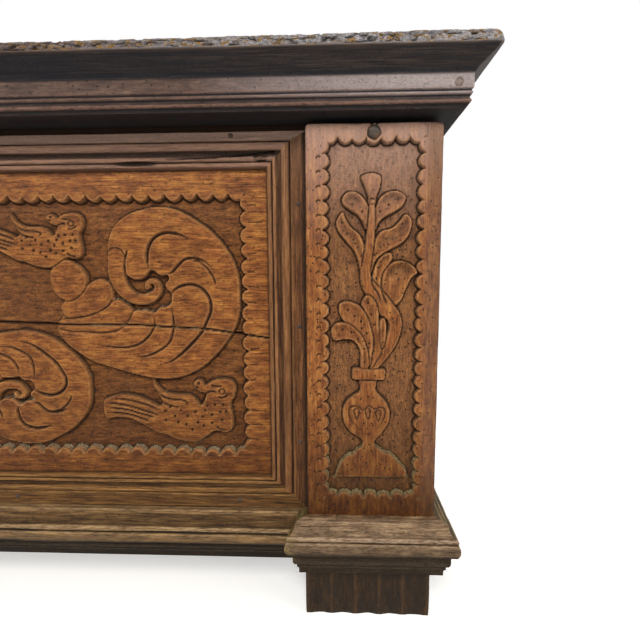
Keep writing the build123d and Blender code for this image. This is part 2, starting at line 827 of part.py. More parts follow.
nodes["pilaster_studs"] = Compound(children=[
    fastener(place, (0, -1, 0), stud_head_radius, stud_head_rise, stud_shank_radius, stud_length)
    for place in stud_places()
])
nodes["frame_brads"] = Compound(children=[
    fastener(place, (0, -1, 0), brad_head_radius, brad_head_rise, brad_shank_radius, brad_length)
    for place in brad_places()
])
nodes["escutcheon_pins"] = Compound(children=[
    fastener(place, (0, -1, 0), brad_head_radius, brad_head_rise, brad_shank_radius, brad_length)
    for place in escutcheon_pin_places()
])
nodes["lock_nails"] = Compound(children=nails(lock_nail_places(), (0, 1, 0)))
nodes["hinge_back_nails"] = Compound(children=[
    nail for side in (-1, 1) for nail in nails(back_strap_nails(side * hinge_position), (0, 1, 0))
])
nodes["hinge_lid_nails"] = Compound(children=[
    nail for side in (-1, 1) for nail in nails(lid_strap_nails(side * hinge_position), (0, 0, -1))
])
nodes["staple_nails"] = Compound(children=nails(staple_nails(), (0, 0, -1)))
nodes["batten_nails"] = Compound(children=[
    fastener(place, (0, 0, -1), nail_head_radius, nail_head_rise, nail_shank_radius, batten_nail)
    for side in (-1, 1) for place in batten_nails(side * (end_inner - batten_inset))
])
nodes["lid_pegs"] = Compound(children=[peg(place) for place in peg_places()])

os.makedirs("parts", exist_ok=True)
for name, solid in nodes.items():
    export_step(solid, f"parts/{name}.step")
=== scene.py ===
import bmesh
import bpy
import math
import numpy as np
from mathutils import Matrix, Vector


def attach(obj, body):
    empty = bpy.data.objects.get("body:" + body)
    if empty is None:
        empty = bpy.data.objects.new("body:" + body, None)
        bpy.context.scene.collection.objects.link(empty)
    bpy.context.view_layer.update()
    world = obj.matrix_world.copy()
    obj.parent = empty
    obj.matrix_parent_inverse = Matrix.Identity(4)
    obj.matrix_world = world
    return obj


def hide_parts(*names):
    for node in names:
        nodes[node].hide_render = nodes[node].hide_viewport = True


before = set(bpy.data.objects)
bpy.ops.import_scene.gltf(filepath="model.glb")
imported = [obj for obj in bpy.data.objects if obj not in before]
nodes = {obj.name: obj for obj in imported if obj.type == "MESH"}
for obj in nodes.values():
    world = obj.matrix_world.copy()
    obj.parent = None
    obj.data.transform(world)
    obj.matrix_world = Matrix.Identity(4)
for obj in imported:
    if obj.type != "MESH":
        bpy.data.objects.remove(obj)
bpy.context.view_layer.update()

# ---------------------------------------------------------------- camera
# The chest is seen from a low stool's height, half a metre in front of its right-hand pilaster.
yaw, pitch, roll = (math.radians(angle) for angle in (2.21, 6.3, -0.23))
ahead = Vector((-math.sin(yaw) * math.cos(pitch), math.cos(yaw) * math.cos(pitch), -math.sin(pitch)))
level = Vector((math.cos(yaw), math.sin(yaw), 0))
above = level.cross(ahead)
right = math.cos(roll) * level + math.sin(roll) * above
upright = -math.sin(roll) * level + math.cos(roll) * above
eye = (0.6426, -0.6898, 0.3881)
camera = bpy.data.objects.new("camera", bpy.data.cameras.new("camera"))
bpy.context.scene.collection.objects.link(camera)
camera.matrix_world = Matrix.Translation(eye) @ Matrix((right, upright, -ahead)).transposed().to_4x4()
camera.data.sensor_fit = "HORIZONTAL"
camera.data.sensor_width = 36.0
camera.data.lens = 24.1875
camera.data.clip_start = 0.01
bpy.context.scene.camera = camera
bpy.context.scene.view_settings.view_transform = "Standard"


# ---------------------------------------------------------------- floor, room and lamps
# A pale seamless floor and a white room. One soft lamp hangs over the front, with others low in front,
# at both sides and behind, so that the carving's upper edges catch light and its hollows don't.
def srgb(code, alpha=1.0):
    """The linear colour of an sRGB hex code."""
    channels = [int(code[place:place + 2], 16) / 255 for place in (1, 3, 5)]
    linear = [c / 12.92 if c <= 0.04045 else ((c + 0.055) / 1.055) ** 2.4 for c in channels]
    return (*linear, alpha)


def node(tree, kind, inputs=None, stops=None, **settings):
    """One shader node; an input is given a number, a colour or another node's socket."""
    new = tree.nodes.new(kind)
    for key, value in settings.items():
        setattr(new, key, value)
    if stops:
        ramp = new.color_ramp
        while len(ramp.elements) < len(stops):
            ramp.elements.new(0.5)
        for element, (place, colour) in zip(ramp.elements, stops):
            element.position = place
            element.color = colour
    for key, value in (inputs or {}).items():
        if isinstance(value, bpy.types.NodeSocket):
            tree.links.new(value, new.inputs[key])
        else:
            new.inputs[key].default_value = value
    return new


def empty_material(name):
    """A new material, and its tree of nodes with nothing in it."""
    material = bpy.data.materials.new(name)
    material.use_nodes = True
    material.node_tree.nodes.clear()
    return material, material.node_tree


def unseen_by_light(tree):
    """1 where the ray is the camera's, a reflection's or a transmission's, else 0."""
    path = node(tree, "ShaderNodeLightPath")
    seen = node(tree, "ShaderNodeMath", {0: path.outputs["Is Camera Ray"],
                                         1: path.outputs["Is Glossy Ray"]}, operation="MAXIMUM")
    return node(tree, "ShaderNodeMath", {0: seen.outputs[0], 1: path.outputs["Is Transmission Ray"]},
                operation="MAXIMUM").outputs[0]


world = bpy.data.worlds.new("pale_room")
world.use_nodes = True
bpy.context.scene.world = world
room = world.node_tree
room.nodes.clear()
ambient = node(room, "ShaderNodeBackground", {"Color": srgb("#f7f6f4"), "Strength": 0.38})
backdrop = node(room, "ShaderNodeBackground", {"Color": (1, 1, 1, 1), "Strength": 1.0})
mixed = node(room, "ShaderNodeMixShader", {0: unseen_by_light(room), 1: ambient.outputs[0],
                                           2: backdrop.outputs[0]})
node(room, "ShaderNodeOutputWorld", {"Surface": mixed.outputs[0]})

floor_mesh = bpy.data.meshes.new("floor")
floor_mesh.from_pydata([(-6, -6, 0), (6, -6, 0), (6, 6, 0), (-6, 6, 0)], [], [(0, 1, 2, 3)])
floor = bpy.data.objects.new("floor", floor_mesh)
bpy.context.scene.collection.objects.link(floor)
paper, tree = empty_material("white_paper_floor")
# The paper is white to the eye but gives back little light, and fades into the room 2 m away.
dull = node(tree, "ShaderNodeBsdfDiffuse", {"Color": srgb("#918f8b")})
matt = node(tree, "ShaderNodeBsdfDiffuse", {"Color": srgb("#e4e2de")})
glow = node(tree, "ShaderNodeEmission", {"Color": (1, 1, 1, 1), "Strength": 0.5})
lit = node(tree, "ShaderNodeAddShader", {0: matt.outputs[0], 1: glow.outputs[0]})
blank = node(tree, "ShaderNodeEmission", {"Color": (1, 1, 1, 1), "Strength": 1.0})
spot = node(tree, "ShaderNodeTexCoord").outputs["Object"]
far = node(tree, "ShaderNodeVectorMath", {0: spot}, operation="LENGTH").outputs["Value"]
fade = node(tree, "ShaderNodeMapRange", {"Value": far, "From Min": 0.9, "From Max": 1.9},
            interpolation_type="SMOOTHSTEP").outputs[0]
shown = node(tree, "ShaderNodeMixShader", {0: fade, 1: lit.outputs[0], 2: blank.outputs[0]})
seen_floor = node(tree, "ShaderNodeMixShader", {0: unseen_by_light(tree), 1: dull.outputs[0], 2: shown.outputs[0]})
node(tree, "ShaderNodeOutputMaterial", {"Surface": seen_floor.outputs[0]})
floor_mesh.materials.append(paper)

for name, place, aim, size, power in (
        ("front_lamp", (0.6, -2.1, 1.95), (0.4, 0.0, 0.3), 0.8, 36),
        ("low_lamp", (0.9, -2.6, 0.6), (0.3, 0.0, 0.35), 1.2, 15),
        ("right_lamp", (2.8, -1.5, 1.3), (0.5, 0.0, 0.3), 1.3, 20),
        ("left_lamp", (-2.6, -2.0, 1.6), (-0.3, 0.0, 0.3), 1.5, 24),
        ("back_lamp", (0.0, 2.8, 1.8), (0.0, 0.0, 0.3), 2.0, 40)):
    lamp = bpy.data.lights.new(name, "AREA")
    lamp.shape = "DISK"
    lamp.size = size
    lamp.energy = power
    lamp.color = srgb("#fffdf9")[:3]
    holder = bpy.data.objects.new(name, lamp)
    bpy.context.scene.collection.objects.link(holder)
    holder.location = place
    holder.rotation_euler = (Vector(aim) - Vector(place)).to_track_quat("-Z", "Y").to_euler()


# ---------------------------------------------------------------- front board
# One walnut plank, 32 mm thick, with its grain running the length of the chest. The carver sank a
# ground 7 mm deep with gouges inside a scalloped margin, and left scrolls, birds and a vase standing.
front_face, panel_relief = -213.3, 7.0
# The grain's directions, and the two axes of the face that beetles bore into.
GRAIN = {"x": (1, 0, 0), "y": (0, 1, 0), "z": (0, 0, 1)}
FACE = {"x": ("X", "Z"), "y": ("Y", "Z"), "z": ("X", "Z")}
# A tint that multiplies the wood darker low down, on the pilasters' outer edges and, as painted shadow, under the
# lid.
darkening_tint, bore_black, gallery_black = srgb("#918968"), srgb("#120c08"), srgb("#17110d")


def walnut(name, direction, dark, middle, pale, ground="#4a3020", grime_and_shade="#1f140d", dust="#a39483",
           crumbs="#a3907d", stain="#b98f3a", faded_and_lit="#a58b80", rubbed_and_lit=None, streak=1.0, scuffed=0.4,
           weather=0.35, wax=0.56, holes=1.0, seed=0.0):
    """Old walnut with its grain along one axis, adzed flat, waxed and handled for centuries.

    It is warm brown where the wax is worn through, and near black in every hollow with grime and painted
    shade, with open pores along the grain and beetle holes. Each step makes a grey value that the later
    ones know by its label."""
    material, tree = empty_material(name)
    place = node(tree, "ShaderNodeTexCoord").outputs["Object"]
    made = {label: node(tree, "ShaderNodeAttribute", attribute_name=label).outputs["Fac"]
            for label in ("proud", "carved", "faded_and_lit", "darkened", "eaten", "hollow", "worn_and_lit", "dusty")}
    # Patterns by their length along the grain and width across it in mm: growth rings cut lengthwise,
    # in streaks over broader clouds; the gouge's marks; pores drawn 1 mm wide so that they show;
    # furrows between the hard rings; scuffs and smudges; and what beetles, hands and dust left, whose
    # mottle and rubbing also break up the painted light and shade.
    for label, length, width, detail, roughness, distortion in (
            ("streaks", 110 * streak, 7.0, 6.0, 0.58, 0.8),
            ("clouds", 90 * streak, 34 / streak**0.5, 5.0, 0.55, 0.0),
            ("fibres", 34 * streak, 1.5, 3.0, 0.7, 0.4),
            ("marks", 15, 4.2, 5.0, 0.75, 1.6),
            ("pores", 15, 1.9, 3.0, 0.6, 0.0),
            ("furrows", 190, 3.0, 5.0, 0.6, 0.3),
            ("scuffs", 50 * streak, 12 / streak**0.5, 6.0, 0.72, 0.0),
            ("smudges", 34 * streak**1.5, 17 / streak**0.5, 6.0, 0.7, 0.0),
            ("colony", 60, 45, 3.0, 0.5, 0.0),
            ("mottle", 9, 7, 4.0, 0.65, 0.0),
            ("tunnels", 9, 2.0, 3.0, 0.6, 2.2),
            ("crumbs", 5, 2.2, 4.0, 0.7, 0.0),
            ("ochre", 30, 14, 4.0, 0.65, 0.0),
            ("rubbing", 26 * streak, 5.0, 5.0, 0.6, 0.0)):
        scale = tuple(1000 / (length if along else width) for along in GRAIN[direction])
        laid = node(tree, "ShaderNodeMapping", {"Vector": place, "Scale": scale,
                                                "Location": (seed, seed * 0.7, seed * 1.3)})
        made[label] = node(tree, "ShaderNodeTexNoise", {
            "Vector": laid.outputs[0], "Detail": detail, "Roughness": roughness,
            "Distortion": distortion}).outputs[0]
    # Beetle holes 1.5 to 2 mm wide, bored square to the face.
    sides = node(tree, "ShaderNodeSeparateXYZ", {0: place}).outputs
    across, up = FACE[direction]
    face = node(tree, "ShaderNodeCombineXYZ", {"X": sides[across], "Y": sides[up]}).outputs[0]
    made["bores"] = node(tree, "ShaderNodeTexVoronoi", {"Vector": face, "Scale": 1000 / 8.0, "Randomness": 1.0},
                         voronoi_dimensions="2D").outputs["Distance"]
    # How much of each pattern shows, between two levels of it.
    for label, source, *stops in (
            ("gouged", "marks", (0.4, 0.1), (0.53, 1)), ("pores", "pores", (0.33, 1), (0.4, 0)),
            ("furrows", "furrows", (0.37, 1), (0.46, 0)), ("scuffs", "scuffs", (0.52, 0), (0.68, 1)),
            ("smudges", "smudges", (0.34, 1), (0.5, 0)), ("bores", "bores", (0.085, 1), (0.13, 0)),
            ("colony", "colony", (0.46, 0), (0.54, 1)), ("fading", "mottle", (0.3, 0.55), (0.6, 1)),
            ("tunnels", "tunnels", (0.47, 1), (0.5, 0)), ("crumbs", "crumbs", (0.32, 0.35), (0.5, 1)),
            ("ochre", "ochre", (0.53, 0), (0.57, 1)), ("packing", "mottle", (0.2, 0.75), (0.6, 1)),
            ("rubbing", "rubbing", (0.38, 0.05), (0.6, 1)), ("settling", "mottle", (0.4, 0.0), (0.56, 1))):
        greys = [(at, (level, level, level, 1)) for at, level in stops]
        made[label] = node(tree, "ShaderNodeValToRGB", {0: made[source]}, stops=greys).outputs[0]
    # Where each lies: the sunk ground, beetles' colonies, eaten edges, and the piece's wear, grime and dust, with
    # its painted shade and painted light.
    made["flush"] = node(tree, "ShaderNodeMath", {0: 1.0, 1: made["proud"]}, operation="SUBTRACT").outputs[0]
    for label, first, second in (
            ("sunk", "flush", "carved"), ("bores", "bores", "colony"), ("fading", "faded_and_lit", "fading"),
            ("crumbs", "crumbs", "eaten"), ("ochre", "ochre", "crumbs"), ("tunnels", "tunnels", "eaten"),
            ("packing", "hollow", "packing"), ("rubbing", "worn_and_lit", "rubbing"), ("settling", "dusty", "settling"),
            ("dug", "marks", "sunk")):
        made[label] = node(tree, "ShaderNodeMath", {0: made[first], 1: made[second]},
                           operation="MULTIPLY").outputs[0]
    # Weighted sums: the wood's tone, its gloss, which grime dulls, and its relief in the bump.
    for label, total, parts in (
            ("tone", 0.0, (("streaks", 0.34), ("clouds", 0.42), ("fibres", 0.24))),
            ("gloss", wax - 0.12, (("streaks", 0.25), ("hollow", 0.25))),
            ("relief", 0.0, (("fibres", 0.8), ("pores", -0.5), ("bores", -1.2), ("furrows", -weather),
                             ("tunnels", -1.6), ("dug", 1.4), ("mottle", 0.35)))):
        for part, weight in parts:
            total = node(tree, "ShaderNodeMath", {0: made[part], 1: weight, 2: total},
                         operation="MULTIPLY_ADD").outputs[0]
        made[label] = total
    # Layers over the bare wood, from the first to the last: the years' grime, wear and dust, with painted shade and
    # painted light among them.
    tones = [(0.38, srgb(dark)), (0.49, srgb(middle)), (0.6, srgb(pale))]
    wood = node(tree, "ShaderNodeValToRGB", {0: made["tone"]}, stops=tones).outputs[0]
    bare = node(tree, "ShaderNodeMix", {"Factor": 0.5, 6: wood, 7: srgb(ground)}, data_type="RGBA").outputs[2]
    rough = node(tree, "ShaderNodeMix", {"Factor": made["gouged"], 6: srgb(grime_and_shade), 7: bare},
                 data_type="RGBA").outputs[2]
    crust = node(tree, "ShaderNodeMix", {"Factor": made["faded_and_lit"], 6: srgb(crumbs), 7: srgb(faded_and_lit)},
                 data_type="RGBA").outputs[2]
    for label, strength, colour in (
            ("sunk", 0.9, rough), ("pores", 0.7, srgb(grime_and_shade)), ("furrows", weather, srgb(grime_and_shade)),
            ("scuffs", scuffed, srgb(pale)), ("smudges", 0.5, srgb(grime_and_shade)), ("bores", holes, bore_black),
            ("fading", 1.0, srgb(faded_and_lit)), ("darkened", 1.0, darkening_tint), ("crumbs", 1.0, crust),
            ("ochre", 1.0, srgb(stain)), ("tunnels", 1.0, gallery_black), ("packing", 1.0, srgb(grime_and_shade)),
            ("rubbing", 1.0, srgb(rubbed_and_lit or pale)), ("settling", 1.0, srgb(dust))):
        share = node(tree, "ShaderNodeMath", {0: made[label], 1: strength}, operation="MULTIPLY").outputs[0]
        wood = node(tree, "ShaderNodeMix", {"Factor": share, 6: wood, 7: colour}, data_type="RGBA",
                    blend_type="MULTIPLY" if label == "darkened" else "MIX").outputs[2]
    bump = node(tree, "ShaderNodeBump", {"Strength": 0.8, "Distance": 0.0013, "Height": made["relief"]})
    surface = node(tree, "ShaderNodeBsdfPrincipled", {
        "Base Color": wood, "Roughness": made["gloss"], "Normal": bump.outputs[0], "IOR": 1.5,
        "Specular IOR Level": 0.25})
    node(tree, "ShaderNodeOutputMaterial", {"Surface": surface.outputs[0]})
    return material


def unit(values):
    """The values, held between 0 and 1."""
    return np.clip(values, 0, 1)


def lumps(across, along, across_size, along_size, seed, octaves=3):
    """Smooth random heights between -1 and 1, whose lumps have these sizes."""
    table = np.random.default_rng(seed).uniform(-1, 1, (256, 256))
    total, weight, reach = 0.0, 1.0, 0.0
    for octave in range(octaves):
        u = across / across_size * 2**octave + 17.3 * octave
        v = along / along_size * 2**octave + 31.7 * octave
        i, j = np.floor(u).astype(int), np.floor(v).astype(int)
        s, t = u - i, v - j
        s, t = s * s * (3 - 2 * s), t * t * (3 - 2 * t)
        low = table[i % 256, j % 256] * (1 - s) + table[(i + 1) % 256, j % 256] * s
        high = table[i % 256, (j + 1) % 256] * (1 - s) + table[(i + 1) % 256, (j + 1) % 256] * s
        total = total + weight * (low * (1 - t) + high * t)
        reach += weight
        weight *= 0.5
    return total / reach


def put_in(name, mesh, material, body, stands_for):
    """A new object of this mesh that rides on a body and stands for its CAD nodes."""
    mesh.materials.clear()
    mesh.materials.append(material)
    made = bpy.data.objects.new(name, mesh)
    bpy.context.scene.collection.objects.link(made)
    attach(made, body)
    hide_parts(*stands_for)
    return made


def piece(name, vertices, faces, material, body, slot, stands_for, **shades):
    """A smooth piece from its vertices in mm, with its wear: by default paler high up and darker low down."""
    mesh = bpy.data.meshes.new(name)
    mesh.from_pydata((np.asarray(vertices) / 1000).tolist(), [], faces)
    height = np.asarray(vertices)[:, 2]
    shades.setdefault("faded_and_lit", 0.35 * unit((height - 420) / 118) ** 1.3)
    shades.setdefault("darkened", 0.9 * unit((300 - height) / 175) ** 1.2)
    for label, values in shades.items():
        mesh.attributes.new(label, "FLOAT", "POINT").data.foreach_set(
            "value", unit(values).astype(np.float32).ravel())
    mesh.polygons.foreach_set("use_smooth", [True] * len(mesh.polygons))
    return put_in(name, mesh, material, body, stands_for)


def curve(points, closed=False, steps=8):
    """A smooth line through the points."""
    points = np.asarray(points, float)
    if closed:
        padded = np.vstack([points[-1:], points, points[:2]])
    else:
        padded = np.vstack([2 * points[:1] - points[1:2], points, 2 * points[-1:] - points[-2:-1]])
    t = np.linspace(0, 1, steps, endpoint=False)[:, None]
    parts = []
    for a, b, c, d in zip(padded, padded[1:], padded[2:], padded[3:]):
        parts.append(0.5 * (2 * b + (c - a) * t + (2 * a - 5 * b + 4 * c - d) * t**2
                            + (3 * b - a - 3 * c + d) * t**3))
    if not closed:
        parts.append(points[-1:])
    return np.vstack(parts)


def quarter_round(share):
    """The rise of a rounded arris, for a share of the way in from its edge."""
    return np.sqrt(1 - (1 - share)**2)


class Carving:
    """A carved face, as heights in mm over its sunk ground on a grid of x and z."""

    def __init__(self, x, z, relief):
        self.x, self.z = np.meshgrid(x, z, indexing="ij")
        self.height = np.zeros_like(self.x)
        self.relief = relief

    def window(self, line, reach):
        """The part of the grid within reach of a line."""
        low, high = line.min(0) - reach, line.max(0) + reach
        i = np.searchsorted(self.x[:, 0], (low[0], high[0]))
        j = np.searchsorted(self.z[0], (low[1], high[1]))
        return slice(*i), slice(*j)

    def gap_to(self, line, closed, reach):
        """Distance to a line, its share of the way along it, and what lies inside a closed one."""
        part = self.window(line, reach)
        x, z = self.x[part], self.z[part]
        nearest = np.full(x.shape, 1e9)
        along = np.zeros(x.shape)
        inside = np.zeros(x.shape, bool)
        ends = np.roll(line, -1, 0) if closed else line[1:]
        for step, ((ax, az), (bx, bz)) in enumerate(zip(line, ends)):
            dx, dz = bx - ax, bz - az
            share = unit(((x - ax) * dx + (z - az) * dz) / (dx * dx + dz * dz + 1e-9))
            gap = np.hypot(x - ax - share * dx, z - az - share * dz)
            closer = gap < nearest
            nearest = np.where(closer, gap, nearest)
            along = np.where(closer, (step + share) / len(ends), along)
            if closed and bz != az:
                crosses = ((az > z) != (bz > z)) & (x < dx * (z - az) / dz + ax)
                inside ^= crosses
        return part, nearest, along, inside

    def cut(self, part, gap, width, depth):
        """A V cut at the gap's zero."""
        notch = unit(1 - gap / width)
        self.height[part] -= depth * notch * notch * (3 - 2 * notch)

    def leave(self, points, top=None, slope=1.3, crown=1.5, edge_cut=2.0, dish=0.0):
        """Leave the wood inside an outline standing, with rounded arrises and a cut round it.

        A dish takes it down again inside a rim 2 mm wide."""
        part, gap, _, inside = self.gap_to(curve(points, True), True, 4.0)
        top = self.relief if top is None else top
        rise = quarter_round(unit(gap / slope))
        form = (top - crown) * (0.35 + 0.65 * rise) + crown * (1 - np.exp(-gap / 5.5))
        form -= dish * (1 - np.exp(-(np.clip(gap - 1.6, 0, 99) / 3.2)**2))
        self.cut(part, np.where(inside, 9.0, gap), 1.7, edge_cut)
        self.height[part] = np.where(inside, form, self.height[part])

    def lower(self, points, floor=0.0, slope=1.4):
        """Take the wood inside an outline down to the ground."""
        part, gap, _, inside = self.gap_to(curve(points, True), True, 3.0)
        share = unit(gap / slope)
        down = floor - 0.8 * np.exp(-gap / 1.5)
        self.height[part] = np.where(inside, self.height[part] * (1 - share) + down * share, self.height[part])

    def ribbon(self, points, widths, top=None, crown=1.2, edge_cut=2.2):
        """Leave a band standing along a line, as wide at each point as the list says."""
        line = curve(points)
        part, gap, along, _ = self.gap_to(line, False, max(widths) / 2 + 4)
        half = np.interp(along * (len(widths) - 1), range(len(widths)), np.asarray(widths) / 2)
        top = self.relief if top is None else top
        rise = quarter_round(unit((half - gap) / 1.6))
        form = (top - crown) * (0.35 + 0.65 * rise) + crown * unit(1 - (gap / half)**2)
        self.cut(part, np.where(gap < half, 9.0, gap - half), 1.7, edge_cut)
        self.height[part] = np.where(gap < half, form, self.height[part])

    def line(self, points, width=1.9, depth=2.6, taper=True):
        """A cut made with the corner of a chisel, fading out at both ends."""
        part, gap, along, _ = self.gap_to(curve(points), False, width + 1)
        fade = np.clip(np.minimum(along, 1 - along) * 6, 0.15, 1) if taper else 1.0
        self.cut(part, gap, width * fade + 0.3, depth * fade)

    def hollow(self, points, depth, reach):
        """A shallow dishing of the wood, deepest along a line."""
        part, gap, _, _ = self.gap_to(curve(points), False, reach)
        share = unit(1 - gap / reach)
        self.height[part] -= depth * share**2 * (3 - 2 * share)

    def punch(self, places, radius=1.7, depth=2.4):
        """Round pits, one blow each."""
        for place in places:
            part, gap, _, _ = self.gap_to(np.array([place, place], float), False, radius + 1)
            self.height[part] -= depth * unit(1 - (gap / radius)**2)


def blurred(values, cells):
    """The values averaged over a square of cells, twice."""
    for _ in range(2):
        for axis in (0, 1):
            width = [(0, 0), (0, 0)]
            width[axis] = (cells + 1, cells)
            total = np.cumsum(np.pad(values, width, mode="edge"), axis=axis)
            high = total.take(range(2 * cells + 1, total.shape[axis]), axis=axis)
            low = total.take(range(0, total.shape[axis] - 2 * cells - 1), axis=axis)
            values = (high - low) / (2 * cells + 1)
    return values


def moved(points, at, scale=(1, 1), turn=0.0):
    """A motif's points, set down at a place, scaled and turned."""
    points = np.asarray(points, float) * scale
    angle = math.radians(turn)
    x = points[:, 0] * math.cos(angle) - points[:, 1] * math.sin(angle)
    z = points[:, 0] * math.sin(angle) + points[:, 1] * math.cos(angle)
    return np.stack([x + at[0], z + at[1]], 1)


def scroll(work, at, scale=(1, 1), turn=0.0):
    """A scroll of acanthus: a broad band round five lobes, its end curled up inside it."""
    def put(*points):
        return moved(np.array(points, float) - (460, 364), at, scale, turn)

    size = math.sqrt(abs(scale[0] * scale[1]))
    work.leave(put((386, 418), (392, 437), (408, 452), (428, 459), (448, 461.5), (468, 457.5), (488, 446.5),
                   (506, 433), (521, 415), (530, 398), (534.5, 378), (534.5, 350), (531, 332), (523, 317),
                   (511, 301), (495, 285), (478, 274), (457, 267.3), (437, 266.8), (416, 270.3), (395, 276),
                   (378, 281), (362, 286.5), (345, 297), (330, 310), (322, 328), (335, 345), (352, 352),
                   (372, 358), (386, 362), (385, 378), (384, 398)), edge_cut=1.2)
    # The ground shows between the band and the lobes.
    work.lower(put((404, 399), (406, 389), (411, 383.5), (418, 381.5), (427, 384), (433, 391.5), (438, 391),
                   (445, 386), (453, 386.5), (455, 381), (451, 376), (452.5, 370), (456.5, 366), (457, 356),
                   (452, 350.5), (443, 349), (437, 343.5), (430, 345), (419, 346), (411, 345.5), (405, 353),
                   (398, 358), (390, 359), (386, 368), (390, 380), (396, 392)), floor=0.4)
    # The lobes' outlines, each cut in with one sweep.
    work.line(put((482, 425), (467, 431), (453, 432.5), (442, 428.6), (435, 421), (431.2, 411), (430.9, 402),
                  (433, 391)), 2.6, 4.2)
    work.line(put((409.5, 415), (405.4, 404), (404.4, 393), (406, 387)), 2.0, 3.6)
    work.line(put((452, 387), (459.3, 390), (466, 397), (473, 403), (482, 404.6), (493, 402), (504, 395)), 2.3, 3.6)
    work.line(put((478, 401.5), (489, 401), (499, 393), (505, 383.5), (508.8, 373)), 1.8, 2.4)
    work.line(put((456.5, 360), (458.5, 367), (465, 372.3), (475, 375.2), (486, 374), (495, 367.7), (500.6, 358),
                  (501, 345.6), (496.4, 334), (489.5, 321), (478.6, 308.8), (465, 296), (453, 287.6), (437, 283)),
              2.5, 4.2)
    work.line(put((437, 345), (436, 331), (431, 320), (423, 311.5), (413, 306), (400, 303.6), (384, 304.5),
                  (370, 306.5)), 1.9, 2.9)
    work.line(put((457.6, 350), (458, 338), (457.5, 326), (454, 313), (448, 305.5), (439, 299.6), (426, 294),
                  (407, 293.4)), 1.9, 2.9)
    for path, depth, reach in (
            (((442, 408), (452, 402), (468, 413), (486, 416)), 1.5, 15),
            (((461, 381), (473, 390), (488, 388), (497, 378)), 1.5, 12),
            (((470, 360), (478, 345), (474, 328), (462, 312)), 1.5, 16),
            (((418, 398), (419, 408)), 1.2, 9),
            (((444, 335), (437, 316), (420, 301)), 1.0, 9)):
        work.hollow(put(*path), depth, reach * size)
    # The band's end, rolled up like a fern.
    work.ribbon(put((395, 407), (394.3, 392), (396.5, 379), (403, 368), (413, 360.5), (424, 358.6), (434, 361.3),
                    (440.5, 367.5), (441.3, 374.5), (436.5, 379.2), (430.5, 377.6), (429.4, 373)),
                [w * size for w in (19.5, 19.5, 18, 16, 14.5, 13.5, 12.5, 10.5, 8.5, 7.5, 6.5, 7)])
    # Leaves that the scroll grows out of.
    work.leave(put((390, 366), (386, 355.5), (376.6, 347), (363, 341), (350, 338.5), (335, 337), (328, 350),
                   (338, 362), (350, 366), (357, 372), (366, 379.5), (376, 382.5), (385, 378.5), (389, 373)))
    work.leave(put((388.6, 357), (398.3, 357.3), (406.2, 353), (411.5, 346.5), (407, 336), (400, 328),
                   (390, 322.4), (373.4, 320.7), (357, 321.5), (340, 322), (325, 326), (325, 335),
                   (345, 337.5), (363, 341), (376.6, 347), (384, 352)))
    work.hollow(put((345, 352), (362, 356), (376, 368)), 1.4, 12 * size)
    work.hollow(put((362, 331), (385, 336), (399, 346)), 1.2, 11 * size)
    work.leave(put((330, 404), (345, 401.5), (355, 394.5), (360.5, 384), (358, 372), (350, 362.5), (336, 357),
                   (322, 366), (318, 388)))
    work.hollow(put((335, 372), (345, 384)), 1.3, 12 * size)


def bird(work, at, scale=(1, 1), turn=0.0):
    """A bird with a long combed tail, one wing up, looking back over its shoulder."""
    def put(*points):
        return moved(np.array(points, float) - (448, 228), at, scale, turn)

    work.leave(put((371, 240.5), (378, 245), (388, 248), (401, 248.3), (414, 245.5), (427, 240), (436.4, 235),
                   (440, 241), (432, 254), (429.8, 268), (437.5, 257), (450.3, 250), (473, 248.6), (481, 242.5),
                   (485.5, 236.5), (490, 243), (491.5, 249), (485, 251.5), (478.5, 256), (477.5, 262), (483, 267),
                   (488.5, 265), (491.5, 260.5), (501, 266), (512, 267.8), (520.5, 267), (526.3, 261),
                   (525.6, 247), (520.6, 238), (522.6, 225), (522.4, 209), (514, 203.3), (502, 205),
                   (491, 198), (478, 191.3), (458, 193.6), (445, 199.3), (434, 201.5), (423.6, 207.6),
                   (409, 215.8), (399, 219.3), (386, 220.3), (372.3, 220)), top=6.4, crown=1.1)
    for path in (((384, 243.5), (402, 241.3), (421.5, 236.3), (437, 229.5)),
                 ((371.5, 238), (386, 237), (402, 234.4), (423, 228), (441, 222)),
                 ((371.5, 233), (398, 230), (418, 224.5), (434, 220.5)),
                 ((372, 227), (398, 225), (414, 220.2), (427, 215.5))):
        work.line(put(*path), 1.7, 2.6)
    for path in (((431.5, 261), (434, 253), (440, 247), (450, 243.3), (465, 241.8), (469.8, 238.3), (466, 235)),
                 ((432.5, 248), (440, 240), (451.4, 235), (464, 233.3)),
                 ((487, 236), (488, 241), (492.5, 250), (500, 252.5), (506, 250)),
                 ((497, 260), (505, 258.5), (512, 258)), ((505, 246), (512, 245.5), (519, 249.5)),
                 ((502, 212), (508, 207.5), (516, 206.5))):
        work.line(put(*path), 1.6, 2.4)
    eye = put((510.9, 252.7))[0]
    ring = [(eye[0] + 3.1 * math.cos(a), eye[1] + 3.1 * math.sin(a)) for a in np.arange(0, 6.3, 0.5)]
    work.line(ring, 1.3, 1.9, taper=False)
    work.punch(put((443.7, 229), (449.7, 234), (455, 223), (458.8, 215.6), (469.8, 223.2), (479.1, 228.3),
                   (481.9, 215.8), (490.6, 230.1), (498.7, 225.2), (493.3, 236), (502.3, 237), (508.6, 228.6),
                   (488.4, 211.6), (498.3, 215.1), (509.9, 218.6), (515.1, 229), (444, 217.9), (487.1, 222.4),
                   (468, 213), (475, 207), (462, 230), (512, 237), (484, 262), (482, 257)), 2.0, 2.6)


